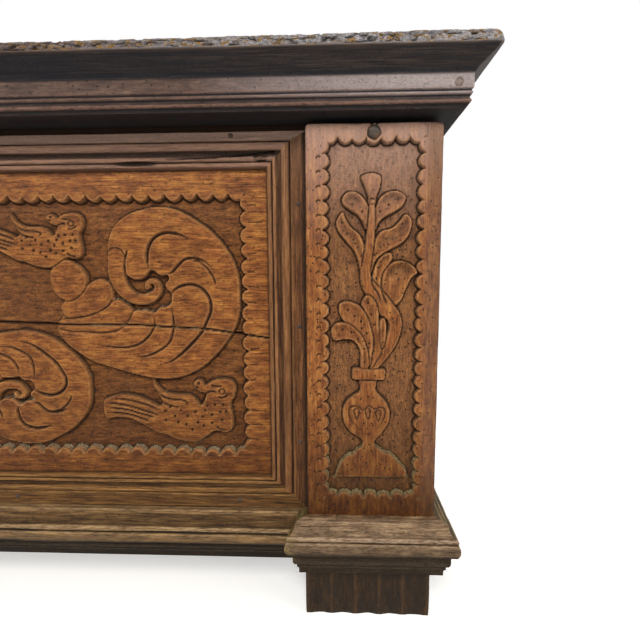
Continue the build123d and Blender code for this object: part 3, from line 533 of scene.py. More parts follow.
def vase_of_leaves(work, at, scale=(1, 1)):
    """A footed vase with a heart on its belly, and one stem that carries dished and punched leaves."""
    def put(*points):
        return moved(np.array(points, float) - (680, 165), at, scale)

    size = math.sqrt(abs(scale[0] * scale[1]))
    small = dict(top=5.9, slope=1.1, crown=0.4, dish=1.8)
    # Upper leaves, from behind forwards.
    work.leave(put((690, 379), (691.5, 388), (697, 396), (705.5, 400), (715.5, 399), (723.5, 394), (727, 387.5),
                   (721, 382), (716, 372), (710, 358), (700, 352), (692, 362)), **small)
    work.hollow(put((703, 389), (713, 391)), 3.4, 13 * size)
    work.leave(put((694, 407.8), (699.5, 408), (700.8, 402), (695.8, 394.5), (691.3, 388), (689, 377),
                   (691, 364), (684, 362), (681, 372), (680.3, 383), (682.4, 393.5), (687.5, 403)), **small)
    work.leave(put((713, 447.5), (718.5, 445), (720.3, 437.5), (717.4, 426), (709.6, 417.5), (699.6, 412),
                   (689.5, 406), (683, 399), (680, 388), (676.5, 388), (677, 400), (679.3, 411), (682.8, 422),
                   (689, 430.6), (699.3, 433.6), (707, 440)), **small)
    work.leave(put((649, 450.5), (643.6, 444), (642, 438), (645, 429.5), (653, 419.4), (660.5, 410.5),
                   (665, 400), (668.5, 386), (674, 386), (673, 403), (670.8, 418), (666, 428), (657.4, 435.2),
                   (652, 444)), **small)
    work.leave(put((684, 457), (687.4, 464.5), (694.5, 470), (703, 471.6), (710.5, 468.8), (714, 464),
                   (710.5, 456), (703.3, 450.3), (694.8, 446), (687, 440), (683, 432), (680, 436), (681, 447)),
               **small)
    work.leave(put((648, 463.5), (653, 470), (661.6, 470.8), (668.8, 466.3), (674, 459), (677, 450),
                   (677, 438), (673, 432), (670, 438), (664.6, 446.2), (654.4, 453.4), (649.4, 457.6)), **small)
    for path, depth, reach in ((((654, 464), (664, 462)), 2.2, 9), (((694, 464), (705, 464)), 2.2, 9),
                               (((649, 440), (655, 428), (664, 414)), 1.4, 8),
                               (((713, 437), (704, 426), (690, 417)), 1.4, 8)):
        work.hollow(put(*path), depth, reach * size)
    flat = dict(top=5.6, slope=1.2, crown=0.7)
    # The bud and the stem that it crowns.
    work.leave(put((667.5, 485), (670.5, 487.8), (675.7, 489.3), (682, 489), (687.6, 486.5), (688, 480),
                   (686.5, 473), (683.5, 465), (682.5, 457.6), (676, 457.6), (674.8, 466), (671, 476)), **flat)
    work.ribbon(put((679.3, 460), (679, 444), (677.5, 420), (674.5, 400), (673, 388), (675.5, 376), (684, 364),
                    (694, 351), (703, 341), (705, 329), (700, 313), (692, 300), (682.5, 287)),
                [w * size for w in (6.5, 8, 9, 9.5, 10.5, 14, 18, 19, 15, 13.5, 13, 11.5, 9)], top=5.8, crown=0.8)
    work.line(put((676, 457.4), (682.6, 457.6)), 1.0, 1.6)
    work.line(put((683, 398), (679.5, 388), (680, 376), (686, 366), (690, 356)), 1.3, 2.2)
    work.line(put((689.5, 380), (690.3, 368), (696, 354)), 1.3, 2.2)
    # The bundle that droops to the left.
    work.leave(put((669, 356), (674.3, 364.4), (681, 361.4), (685.8, 353.3), (687.5, 342.5), (688, 330),
                   (690.5, 318), (690.5, 304), (686, 295), (680.4, 287), (675, 299), (672, 330), (671.8, 346)),
               **small)
    work.leave(put((689, 338.8), (694.5, 338), (695.5, 324), (693, 309.5), (689.6, 309.5), (688.3, 326)), **small)
    work.leave(put((645.3, 354.7), (653, 357.8), (662.4, 355.6), (669, 351), (676, 340), (680, 326), (682, 315),
                   (680.3, 298.8), (677.5, 288), (671, 300), (666.6, 318), (658.4, 330), (650.3, 336),
                   (646, 344)), **small)
    work.leave(put((637.3, 329), (641, 334), (649, 335.5), (658.4, 332.5), (666.6, 325), (672.7, 315.3),
                   (677, 299), (676.3, 285), (669, 285), (668.5, 299), (666, 308.6), (659.5, 315.6),
                   (650.4, 316.8), (641, 315.4), (637, 321.5)), **small)
    # Collar, neck, belly and foot.
    work.leave(put((668, 275), (668, 262), (661, 256.5), (654, 250.5), (650, 243), (649.3, 234), (651.6, 223),
                   (658.6, 213.7), (667, 208.4), (670.7, 204.5), (670, 199), (664.5, 195), (661, 190.5),
                   (653.4, 187.6), (646.4, 178.9), (641.8, 167), (641, 163.6), (643, 163.2), (680, 163.4),
                   (717, 164), (719.5, 165), (718.6, 172.6), (710.6, 181.4), (702, 190.6), (694, 192.5),
                   (691, 195.5), (685.5, 199.5), (684.5, 205), (692.5, 214), (699.2, 225.8), (700.6, 237),
                   (696.2, 248.5), (688, 257.8), (684.8, 263), (684.8, 275)), **flat)
    work.leave(put((660.7, 273.2), (677, 273), (693, 272.8), (694.8, 278.5), (693.6, 285), (677, 284.8),
                   (661, 286.4), (659.8, 280)), **flat)
    work.line(put((676.9, 212), (664.4, 221.2), (657.5, 231), (655.8, 239), (659.6, 243.8), (666.5, 243.4),
                  (671, 240), (677.5, 244.4), (684, 241.2), (690.5, 243), (695, 239.6), (694.3, 231.5),
                  (689.3, 222.5), (677.5, 212.5)), 1.3, 1.5)
    for x, z in ((664.3, 238), (676.3, 238), (687.5, 236)):
        work.line(put((x - 3, z + 1), (x, z + 4), (x + 3, z + 1), (x + 0.5, z - 8), (x - 3, z + 1)), 1.2, 1.4,
                  taper=False)
    work.punch(put((648.7, 439), (653.8, 428), (660.4, 421.5), (664.8, 414), (668.5, 405), (658.8, 458),
                   (668.9, 450.6), (696, 457.4), (687.6, 450.5), (710.7, 437.5), (704.5, 423.4), (694.4, 422),
                   (688.7, 414.2), (682.3, 406.3), (691.7, 402.6), (688.9, 399), (686, 393), (684, 381.6),
                   (707.3, 381.5), (675.8, 356), (679.2, 344), (682.7, 333), (655, 348.6), (661.8, 342),
                   (668.5, 336.4), (669.2, 329), (674.7, 323.5), (677.5, 313), (682.3, 304.3), (649, 327.6),
                   (658.5, 324.8), (665.3, 317.5), (670.7, 315.3), (672.1, 307)), 1.5 * max(size, 0.8), 1.7)


def scallops(work, half, middle, low, high, pitch, tip, radius, seed):
    """The margin that is left at full height, its edge cut into a row of half-round lobes."""
    chance = np.random.default_rng(seed)
    x, z = work.x - middle, work.z
    reach = []
    for across, along, first, last in ((half - np.abs(x), z, low, high), (z - low, x, -half, half),
                                       (high - z, x, -half, half)):
        count = max(1, round((last - first - pitch) / pitch))
        step = (last - first - pitch) / count
        which = np.clip(np.round((along - first - pitch / 2) / step), 0, count).astype(int)
        side = (x > 0).astype(int) if along is z else 0
        shift = chance.uniform(-0.9, 0.9, (2, count + 1))[side, which]
        grow = chance.uniform(-0.7, 0.5, (2, count + 1))[side, which]
        off = along - (first + pitch / 2 + which * step) - shift
        lobe = radius + grow - np.hypot(off, across - tip + radius)
        reach.append(np.maximum(lobe, -across - 0.5))
    edge = np.maximum(np.maximum(reach[0], reach[1]), reach[2])
    rise = quarter_round(unit(edge))
    work.height = np.where(edge > 0, work.relief * (0.3 + 0.7 * rise), work.height)
    work.height -= 2.0 * np.exp(-(edge / 1.3)**2) * (edge <= 0)


def slab(x, z, y, back):
    """Vertices and faces of a plank whose front is the surface y over the grid of x and z."""
    across, up = np.meshgrid(x, z, indexing="ij")
    columns, rows = across.shape
    front = np.stack([across, y, up], -1).reshape(-1, 3)
    i, j = np.meshgrid(np.arange(columns - 1), np.arange(rows - 1), indexing="ij")
    corner = (i * rows + j).ravel()
    faces = np.stack([corner, corner + rows, corner + rows + 1, corner + 1], 1).tolist()
    border = ([column * rows for column in range(columns)]
              + [(columns - 1) * rows + row for row in range(1, rows)]
              + [column * rows + rows - 1 for column in range(columns - 2, -1, -1)]
              + [row for row in range(rows - 2, 0, -1)])
    rear = front[border].copy()
    rear[:, 1] = back
    first = len(front)
    count = len(border)
    for step in range(count):
        after = (step + 1) % count
        faces.append([border[after], border[step], first + step, first + after])
    faces.append(list(range(first + count - 1, first - 1, -1)))
    return np.vstack([front, rear]), faces, count


def shades(work, spacing, extra, thick_below):
    """How proud each point of a carved face is, its painted shade and grime in hollows, its wear and its dust;
    extra zeros for its back.

    Below a height, dust lies thick on every wall that faces up."""
    around = blurred(work.height, max(1, round(4.0 / spacing)))
    near = blurred(work.height, 1)
    # Painted shade with grime in the hollows and cuts, and pale wear on the proud arrises.
    hollow = 0.34 * unit((around - work.height) / 2.8) + 1.3 * unit((near - work.height) / 0.8)
    worn_and_lit = np.clip((work.height - near - 0.18) / 0.6, 0, 0.8) * unit(work.height / work.relief) ** 2
    tilt = -np.gradient(work.height, axis=1) / np.gradient(work.z, axis=1)
    ledge = unit(2.0 * tilt - 0.3) * unit((near - work.height - 0.3) / 0.2)
    ledge *= unit((work.height - 0.1) / 0.4) * unit((2.6 - work.height) / 0.8)
    thick = np.clip((thick_below - work.z) / 25, 0, 0.85) * unit(2.0 * tilt - 0.6)
    ledge = np.maximum(ledge, thick * unit((0.8 * work.relief - work.height) / 1.5))
    # Walls that face up, below the top, are painted darker too, as shade.
    hollow += 0.8 * unit(tilt - 0.4) * unit((0.92 * work.relief - work.height) / 1.2)
    fields = {"proud": work.height / work.relief, "hollow": hollow, "worn_and_lit": worn_and_lit,
              "dusty": ledge, "carved": np.ones_like(around)}
    return {label: np.concatenate([values.ravel(), np.full(extra, 1.0 if label == "proud" else 0.0)])
            for label, values in fields.items()}


def behind(name, depth):
    """A CAD node's mesh from a depth in y backwards, closed at the cut, in metres."""
    cut = bmesh.new()
    cut.from_mesh(nodes[name].data)
    bmesh.ops.remove_doubles(cut, verts=cut.verts, dist=1e-5)
    kept = bmesh.ops.bisect_plane(cut, geom=cut.verts[:] + cut.edges[:] + cut.faces[:], dist=1e-6,
                                  plane_co=(0, depth / 1000, 0), plane_no=(0, 1, 0), clear_inner=True)
    rim = [edge for edge in kept["geom_cut"] if isinstance(edge, bmesh.types.BMEdge)]
    bmesh.ops.holes_fill(cut, edges=rim, sides=0)
    bmesh.ops.dissolve_limit(cut, angle_limit=0.01, verts=cut.verts, edges=cut.edges)
    cut.normal_update()
    return cut


# The wax has worn to a warm orange brown where the carving stands proud; its ground is duller.
board_walnut = walnut("waxed_walnut_carved_front", "x", "#693718", "#9b5b2b", "#c9853f", ground="#885630",
                      grime_and_shade="#29190e", dust="#b3a585", rubbed_and_lit="#c38d58", weather=0.6, holes=0.5)
# A fine grid over the carved field, and wide steps over the margin that other pieces cover.
spacing = 1.25
board_x = np.concatenate([[-750, -662, -576.5], np.arange(-575, 575 + spacing, spacing), [578.5, 662, 750]])
board_z = np.concatenate([[75, 114, 151.5], np.arange(153, 505, spacing), [507, 531, 538, 552, 561, 574.7]])
front = Carving(board_x, board_z, panel_relief)
front.height = (1.1 * lumps(front.x, front.z, 26, 6, 3) + 0.9 * lumps(front.x, front.z, 14, 11, 4, 2)
                + 0.7 * lumps(front.x, front.z, 8, 3.6, 2))
for side in (-1, 1):
    scroll(front, (side * 460, 364), (side, 1))
    scroll(front, (side * 293, 255), (side * 0.86, -0.70))
    scroll(front, (side * 140, 372), (side * 0.92, 0.84))
    bird(front, (side * 448, 228), (side, 1))
    bird(front, (side * 292, 424), (side * 0.86, 0.8))
    bird(front, (side * 128, 232), (side * -0.92, 0.92))
vase_of_leaves(front, (0, 186), (0.72, 0.72))
lobe_pitch = 17.7
scallops(front, 542.5, 0, 178.5, 473, lobe_pitch, 6.3, 9.0, 5)
# The escutcheon's plain tablet.
tablet_half, tablet_bottom = 25.8, 424
tablet = (np.abs(front.x) < tablet_half) & (front.z > tablet_bottom)
front.height = np.where(tablet, panel_relief, front.height)
# A split ran along the grain from the right-hand edge of the plank.
front.line([(250, 333), (300, 331), (349, 330), (415, 329.6), (447, 327.7), (495, 325), (527, 320.5), (571, 314)],
           1.5, 5.0, taper=False)
# Short slips of the gouge beside the right-hand scallops.
chance = np.random.default_rng(8)
for z in np.arange(196, 465, lobe_pitch):
    reach = chance.uniform(6, 20)
    front.line([(543, z), (543 + reach / 2, z + chance.uniform(-1, 1)), (543 + reach, z + chance.uniform(-2, 2))],
               1.1, 1.3)
front.height += 0.22 * lumps(front.x, front.z, 60, 3.2, 6) + 0.15 * lumps(front.x, front.z, 9, 6, 7)
edge_x = unit((np.abs(front.x) - 574) / 2)
edge_z = unit(np.maximum(155 - front.z, front.z - 503) / 2)
front.height = front.height * (1 - np.maximum(edge_x, edge_z)) + panel_relief * np.maximum(edge_x, edge_z)
# The keyhole: a round hole over a slot.
key_height, slot_bottom, key_radius, slot_half = 474, 456, 4, 2.5
above_slot, below_slot = front.z - key_height, slot_bottom - front.z
hole = np.minimum(np.hypot(front.x, above_slot) - key_radius,
                  np.maximum(np.abs(front.x) - slot_half, np.maximum(below_slot, above_slot)))
front.height = np.where(hole < 0, -2.5, front.height)
vertices, faces, rear = slab(board_x, board_z, front_face + panel_relief - front.height, front_face + 10)
wear = shades(front, spacing, rear, 205)
# Painted shade and grime darken the board along the frame's inner edges, and painted shadow darkens it above the
# frame, where the lid keeps the light off.
field_half, field_bottom, field_top = 567.7, 153.8, 499.3
to_frame = np.minimum(field_half - np.abs(vertices[:, 0]),
                      np.minimum(vertices[:, 2] - field_bottom, field_top - vertices[:, 2]))
wear["hollow"] = np.maximum(wear["hollow"], 0.9 * unit((2.4 - to_frame) / 1.6))
shaded = unit(np.minimum(vertices[:, 2] - 530, 560 - vertices[:, 2]) / 8)
wear["hollow"] = np.maximum(wear["hollow"], shaded)
wear["darkened"] = np.maximum(0.9 * unit((300 - vertices[:, 2]) / 175) ** 1.5, shaded)
wear["faded_and_lit"] = 0.12 * unit((vertices[:, 2] - 420) / 118)
front_board = piece("front_board_carved", vertices, faces, board_walnut, "chest", "carved_walnut",
                    ["front_board"], **wear)
board = bmesh.new()
board.from_mesh(front_board.data)
rest_mesh = bpy.data.meshes.new("front_board_rear")
behind("front_board", front_face + 10).to_mesh(rest_mesh)
rest_mesh.attributes.new("hollow", "FLOAT", "POINT").data.foreach_set("value", [0.4] * len(rest_mesh.vertices))
board.from_mesh(rest_mesh)
board.to_mesh(front_board.data)


# ---------------------------------------------------------------- pilasters
# Two upright walnut planks, 24 mm thick, nailed and pegged over the ends of the front board. Each is
# carved from the face like the front: a vase and its plant inside a scalloped margin, 6 mm proud.
pilaster_face, pilaster_width, pilaster_middle, pilaster_relief = -237.3, 139.3, 680.35, 6.0
base_top, pilaster_top = 117.0, 537.8
# Browner than the board, darker towards the floor, and greyed under the lid by dust and by painted light.
pilaster_walnut = walnut("waxed_walnut_pilaster", "z", "#63341a", "#975729", "#c58545", ground="#b5855c",
                         grime_and_shade="#2a1b12", dust="#b0a070", faded_and_lit="#c9a797", rubbed_and_lit="#c79463", weather=0.5, seed=3.0)

spacing = 1.0
half = pilaster_width / 2
post_x = np.linspace(pilaster_middle - half, pilaster_middle + half, int(pilaster_width / spacing) + 1)
post_z = np.linspace(base_top, pilaster_top, int((pilaster_top - base_top) / spacing) + 1)
post = Carving(post_x, post_z, pilaster_relief)
post.height = (0.9 * lumps(post.x, post.z, 8, 17, 11) + 0.9 * lumps(post.x, post.z, 12, 10, 12, 2)
               + 0.5 * lumps(post.x, post.z, 3.2, 6, 10))
vase_of_leaves(post, (680, 165))
scallops(post, 51.5, pilaster_middle, 140.5, 523.5, 15.2, 5.9, 7.9, 9)
post.height += 0.16 * lumps(post.x, post.z, 3.5, 50, 13) + 0.12 * lumps(post.x, post.z, 7, 8, 14)
# Each left-hand lobe has a small hook cut behind it.
for z in np.arange(154, 512, 14.6):
    post.line([(pilaster_middle - 53.5, z), (pilaster_middle - 57, z + 1.5), (pilaster_middle - 59.5, z - 1.5)],
              1.2, 1.6)
# The split that the big nail started.
post.line([(678, 539), (679.5, 533), (680, 528)], 2.2, 4.5, taper=False)
post.line([(684, 539), (682, 533), (680.5, 528)], 1.5, 3.0, taper=False)
# Arrises that hands and brooms have rounded.
from_side = half - np.abs(post.x - pilaster_middle)
from_top = pilaster_top - post.z
chipped = 2.6 + 1.6 * lumps(post.x, post.z, 40, 17, 15)
corner = np.hypot(np.clip(chipped - from_side, 0, 9), np.clip(chipped * 1.2 - from_top, 0, 9))
post.height -= np.minimum(0.16 * corner**2, 4.0)


def corner_round(from_side, from_end, radius):
    """How far a point moves away from both edges of a square corner, so that the corner is rounded."""
    u, v = radius - from_side, radius - from_end
    away = np.hypot(u, v)
    outside = (u > 0) & (v > 0) & (away > radius)
    pull = np.where(outside, 1 - radius / np.maximum(away, 1e-6), 0)
    return u * pull, v * pull


def turned_over(vertices, faces):
    """The left-hand twin of a right-hand piece's mesh."""
    twin = np.array(vertices, float)
    twin[:, 0] *= -1
    return twin, [face[::-1] for face in faces]


vertices, faces, rear = slab(post_x, post_z, pilaster_face + pilaster_relief - post.height, front_face)
wear = shades(post, spacing, rear, 205)
# Paler towards the top, with dust and with painted light against the lid moulding's shadow, and darker towards the
# bottom.
wear["faded_and_lit"] = 0.8 * unit((vertices[:, 2] - 400) / 138) ** 1.6
wear["darkened"] = unit((300 - vertices[:, 2]) / 165) ** 1.7
# Its outer edge is greyer and darker.
edge_strip = unit((vertices[:, 0] - pilaster_middle - 50) / 8)
wear["faded_and_lit"] = np.maximum(wear["faded_and_lit"], 0.2 * edge_strip)
wear["darkened"] = np.maximum(wear["darkened"], 0.5 * edge_strip)
# Down by the floor its arrises are less pale, and dust lies thicker on the lobes' feet.
wear["worn_and_lit"] = wear["worn_and_lit"] * (1 - 0.6 * wear["darkened"])
wear["dusty"] = wear["dusty"] * (1 + wear["darkened"])
# Its upper corners are rubbed round.
from_middle = vertices[:, 0] - pilaster_middle
inwards, downwards = corner_round(half - np.abs(from_middle), pilaster_top - vertices[:, 2], 5.0)
vertices[:, 0] -= np.sign(from_middle) * inwards
vertices[:, 2] -= downwards
for side, (points, sides) in (("right", (vertices, faces)), ("left", turned_over(vertices, faces))):
    piece("pilaster_carved_" + side, points, sides, pilaster_walnut, "chest", "carved_walnut",
          ["pilaster_" + side], **wear)


# ---------------------------------------------------------------- the field's frame
# Four walnut mouldings run with a scratch stock, mitred round the field and nailed to the front board.
# Flat outer band, quirk, bead, hollow and two fillets, split and worn along their arrises.
frame_top, pilaster_inner = 541.0, 610.7
rail_length, stile_length = 1221, 424
# Darker than the boards, with long streaks. The top rail is greyed, and painted light lifts its outer band out of
# the lid's shadow; the bottom one is not greyed.
frame_age = dict(dust="#8c8177", streak=2.4, scuffed=0.3, weather=0.9, holes=0.35)
frame_walnut = walnut("dark_walnut_frame_rail", "x", "#442818", "#784b2f", "#a9744b",
                      faded_and_lit="#ad9183", rubbed_and_lit="#a5806a", seed=5.0, **frame_age)
stile_walnut = walnut("dark_walnut_frame_stile", "z", "#4d2c18", "#875532", "#b67d4a",
                      faded_and_lit="#a17a62", rubbed_and_lit="#a5784f", seed=6.0, **frame_age)
bottom_walnut = walnut("dark_walnut_frame_bottom", "x", "#452910", "#7c5228", "#b28040",
                       faded_and_lit="#a58a6c", rubbed_and_lit="#b98a55", seed=5.5, **frame_age)


def arc(start, through, end, steps=9):
    """Points of the circle's arc from start through a point to end."""
    (ax, ay), (bx, by), (cx, cy) = start, through, end
    d = 2 * (ax * (by - cy) + bx * (cy - ay) + cx * (ay - by))
    a, b, c = ax * ax + ay * ay, bx * bx + by * by, cx * cx + cy * cy
    x = (a * (by - cy) + b * (cy - ay) + c * (ay - by)) / d
    y = (a * (cx - bx) + b * (ax - cx) + c * (bx - ax)) / d
    first, middle, last = (math.atan2(p[1] - y, p[0] - x) for p in (start, through, end))
    turn = (last - first) % math.tau
    if (middle - first) % math.tau > turn:
        turn -= math.tau
    radius = math.hypot(start[0] - x, start[1] - y)
    return [(x + radius * math.cos(first + turn * k / steps), y + radius * math.sin(first + turn * k / steps))
            for k in range(1, steps + 1)]


def dense(outline, pitch):
    """An open line's points, at most a pitch apart."""
    points = []
    for (ax, ay), (bx, by) in zip(outline, outline[1:]):
        count = max(1, math.ceil(math.hypot(bx - ax, by - ay) / pitch))
        points += [(ax + (bx - ax) * k / count, ay + (by - ay) * k / count) for k in range(count)]
    return np.array(points + [outline[-1]])


def outward_faces(vertices, faces):
    """The faces of a closed shape, each turned to look outwards."""
    shell = bmesh.new()
    made = [shell.verts.new(v) for v in vertices]
    for face in faces:
        shell.faces.new([made[k] for k in face])
    bmesh.ops.recalc_face_normals(shell, faces=shell.faces)
    shell.verts.index_update()
    turned = [[corner.index for corner in face.verts] for face in shell.faces]
    shell.free()
    return turned


def averaged(line, reach):
    """A line's points, each the mean of its neighbours within reach."""
    padded = np.pad(line, ((reach, reach), (0, 0)), mode="reflect", reflect_type="odd")
    count = 2 * reach + 1
    return np.stack([np.convolve(padded[:, k], np.ones(count) / count, "valid") for k in (0, 1)], 1)


def run(name, seen, back, lay, length, material, slot, body="chest", pitch=0.8, station=5.0, rough=0.35,
        twins=("",), seed=1, wander=0.5, chips=0.8, splits=0.5, faded_and_lit=0.25, darkened=0.3, underside=0.0,
        overhung=None, wiped_and_lit=None, scars=None, dusty=None, cove=0.35):
    """A moulding: its seen profile from arris to arris and the back's corners, laid along a line.

    lay(out, up, share) gives x, y and z for a point of the profile at a share of the length; overhung(profile)
    adds painted shade and grime, wiped(profile) wear and painted highlight, scars(out, x) depths of damage,
    dusty(x) dust."""
    profile = dense(seen, pitch)
    ahead_of, after = np.roll(profile, 1, 0), np.roll(profile, -1, 0)
    ahead_of[0], after[-1] = profile[0], profile[-1]
    eased = profile.copy()
    eased[1:-1] = (ahead_of + 2 * profile + after)[1:-1] / 4
    tangent = np.gradient(eased, axis=0)
    normal = np.stack([-tangent[:, 1], tangent[:, 0]], 1) / np.hypot(*tangent.T)[:, None]
    proud = ((eased - averaged(profile, max(2, round(2.4 / pitch)))) * normal).sum(1)
    bulge = ((eased - averaged(profile, max(3, round(7 / pitch)))) * normal).sum(1)
    if ((eased - eased.mean(0)) * normal).sum() < 0:
        normal, proud, bulge = -normal, -proud, -bulge
    stations = max(2, round(length / station)) + 1
    share = np.linspace(0, 1, stations)
    place = share * length
    path = np.concatenate([[0], np.cumsum(np.hypot(*np.diff(profile, axis=0).T))])
    across, along = np.meshgrid(path, place, indexing="ij")
    shift = (rough * lumps(across, along, 3.2, 70, seed) + wander * lumps(across, along, 40, 120, seed + 1, 2)
             - 0.3 * rough)
    arris = unit(proud / 0.5)[:, None]
    shift -= splits * unit(lumps(across, along, 3.0, 220, seed + 3, 2) * 3 - 1.0)
    shift -= chips * arris * unit(lumps(across, along, 9, 16, seed + 2) * 2 - 0.25)
    fade = np.minimum(1, np.minimum(path, path[-1] - path) / 3)[:, None]
    mitred = unit(np.minimum(place, length - place) / 8)[None, :]
    shift = shift * (0.25 + 0.75 * fade) * (0.2 + 0.8 * mitred)
    damage = np.zeros_like(shift)
    if scars:
        damage = scars(eased[:, :1], lay(eased[:, :1], eased[:, 1:], share[None, :])[0])
        shift -= damage
    points = eased[:, None, :] + normal[:, None, :] * shift[..., None]
    corners = np.broadcast_to(np.array(back, float)[:, None, :], (len(back), stations, 2))
    ring = np.concatenate([points, corners], 0)
    grid = np.stack(np.broadcast_arrays(*lay(ring[..., 0], ring[..., 1], share[None, :])), -1)
    count = len(ring)
    faces = []
    for k in range(count):
        n = (k + 1) % count
        for s in range(stations - 1):
            faces.append([k * stations + s, k * stations + s + 1, n * stations + s + 1, n * stations + s])
    faces.append([k * stations for k in range(count)])
    faces.append([k * stations + stations - 1 for k in range(count - 1, -1, -1)])
    vertices = grid.reshape(-1, 3)
    faces = outward_faces(vertices, faces)
    # Concave and overhung parts are painted dark with shade and grime; arrises and swells are painted pale with
    # wear and highlight.
    overhang_shade_and_grime = overhung(profile) if overhung else 0
    low = unit(-proud / 0.3) + cove * unit(-bulge / 1.2) + overhang_shade_and_grime
    high = (unit(proud / 0.3) + 0.35 * unit(bulge / 1.4)) * (1 - 0.8 * unit(overhang_shade_and_grime))
    x, _, z = np.moveaxis(grid, -1, 0)
    specks = unit(0.6 + 1.6 * lumps(x, z, 3.5, 3.5, seed + 5))
    # Faces that look down get painted shade with their grime, and those that look up get painted light with their
    # wear.
    rise = normal[:, 1] * (underside > 0)
    low += underside * unit(-rise - 0.2)
    high = high * (0.6 + 0.6 * unit(rise)) + (wiped_and_lit(profile) if wiped_and_lit else 0)
    low = np.concatenate([unit(low), np.full(len(back), underside)])
    high = np.concatenate([unit(high), np.zeros(len(back))])
    damage = np.concatenate([unit(damage / 1.2), np.zeros((len(back), stations))])
    wear = {"hollow": low[:, None] + damage, "worn_and_lit": np.repeat(high[:, None], stations, 1),
            "proud": np.ones_like(x), "dusty": (dusty(np.abs(x)) if dusty else 0) * specks,
            "faded_and_lit": unit((z - 400) / 140) * (faded_and_lit(np.abs(x), z) if callable(faded_and_lit) else faded_and_lit),
            "darkened": darkened * unit((270 - z) / 155)}
    for twin in twins:
        points, sides = turned_over(vertices, faces) if twin == "_left" else (vertices, faces)
        made = piece(name + twin, points, sides, material, body, slot, [name + twin], **wear)
        made.data.set_sharp_from_angle(angle=math.radians(50))


frame_profile = [(0, 0.3), (0.3, 7.2), (1.2, 7.6), (16.8, 7.5), (17.8, 7.0), (18.6, 4.2), (19.5, 7.2),
                 *arc((19.5, 7.2), (22.8, 10.4), (26.4, 8.4)), *arc((26.4, 8.4), (28.6, 5.0), (31.2, 6.2)),
                 (31.6, 7.4), (34.1, 7.2), (34.5, 6.2), (35.1, 4.0), (35.7, 5.4),
                 *arc((35.7, 5.4), (37.4, 6.6), (39.3, 5.2)), (39.8, 3.6), (40, 0.3)]
frame_back = [(40, 0), (0, 0)]


def stretched(*marks):
    """Where a rail's outer edge, quirk and inner edge lie, in mm from the frame's outside."""
    return lambda u: np.interp(u, (0, 18.6, 40), marks)


top_rail, bottom_rail, stile = stretched(4.6, 14.7, 41.7), stretched(0, 17.3, 36.8), stretched(0, 17.8, 43)


def split_and_knot(u, x):
    """The split in the top rail's hollow that ends in a knot, and a lost splinter beside it."""
    x = np.abs(x)
    line = np.interp(x, (430, 499, 545, 574), (33.0, 31.4, 29.4, 27.6))
    split = 4.5 * unit(1 - np.abs(u - line) / 1.1) * unit((x - 440) / 60) * (x < 576)
    knot = np.hypot((x - 562) / 8.0, (u - 32.5) / 2.6)
    rings = unit(1.3 - knot) * (1.4 + 1.3 * np.cos(7 * knot))
    lost = 3.0 * unit(1 - np.abs(u - 36) / 2.5) * unit(1 - np.abs(x - 426) / 26)
    return split + rings + lost


def shade_and_grime_beside_pilaster(profile):
    """Painted shadow and grime in the corner between the stile and the pilaster, and a little over its flat band.
    """
    return 0.9 * unit((7 - profile[:, 0]) / 5) + 0.3 * (profile[:, 0] < 18)


def kicked(profile):
    """Grime on the bottom rail's flat band, which boots reach."""
    return 0.25 * (profile[:, 0] < 18)


# The top rail's coves carry more painted shade than the others'.
run("panel_moulding_top", frame_profile, frame_back,
    lambda u, h, s: ((2 * s - 1) * (pilaster_inner - stile(u)), front_face - h, frame_top - top_rail(u) + 0 * s),
    rail_length, frame_walnut, "frame_walnut", seed=21, station=3.0, darkened=0.25, scars=split_and_knot, cove=0.8,
    faded_and_lit=lambda x, z: 0.5 + 0.5 * unit((z - 525) / 3))
run("panel_moulding_bottom", frame_profile, frame_back,
    lambda u, h, s: ((2 * s - 1) * (pilaster_inner - stile(u)), front_face - h, base_top + bottom_rail(u) + 0 * s),
    rail_length, bottom_walnut, "frame_walnut", seed=25, faded_and_lit=0.0, darkened=0.25, overhung=kicked)
run("panel_moulding", frame_profile, frame_back,
    lambda u, h, s: (pilaster_inner - stile(u), front_face - h,
                     base_top + bottom_rail(u) + s * (frame_top - top_rail(u) - base_top - bottom_rail(u))),
    stile_length, stile_walnut, "frame_walnut", twins=("_right", "_left"), seed=31, darkened=0.35,
    overhung=shade_and_grime_beside_pilaster, faded_and_lit=lambda x, z: 0.3 + 0.5 * unit((z - 480) / 50))


# ---------------------------------------------------------------- base moulding
# A deep walnut moulding with a hollow slope, a thumb nose and an undercut ogee. It breaks forward under
# each pilaster and returns, every corner mitred and nailed. Feet have kicked it, and under its nose it is
# painted dark with shade and grime.
foot_height = 57.0
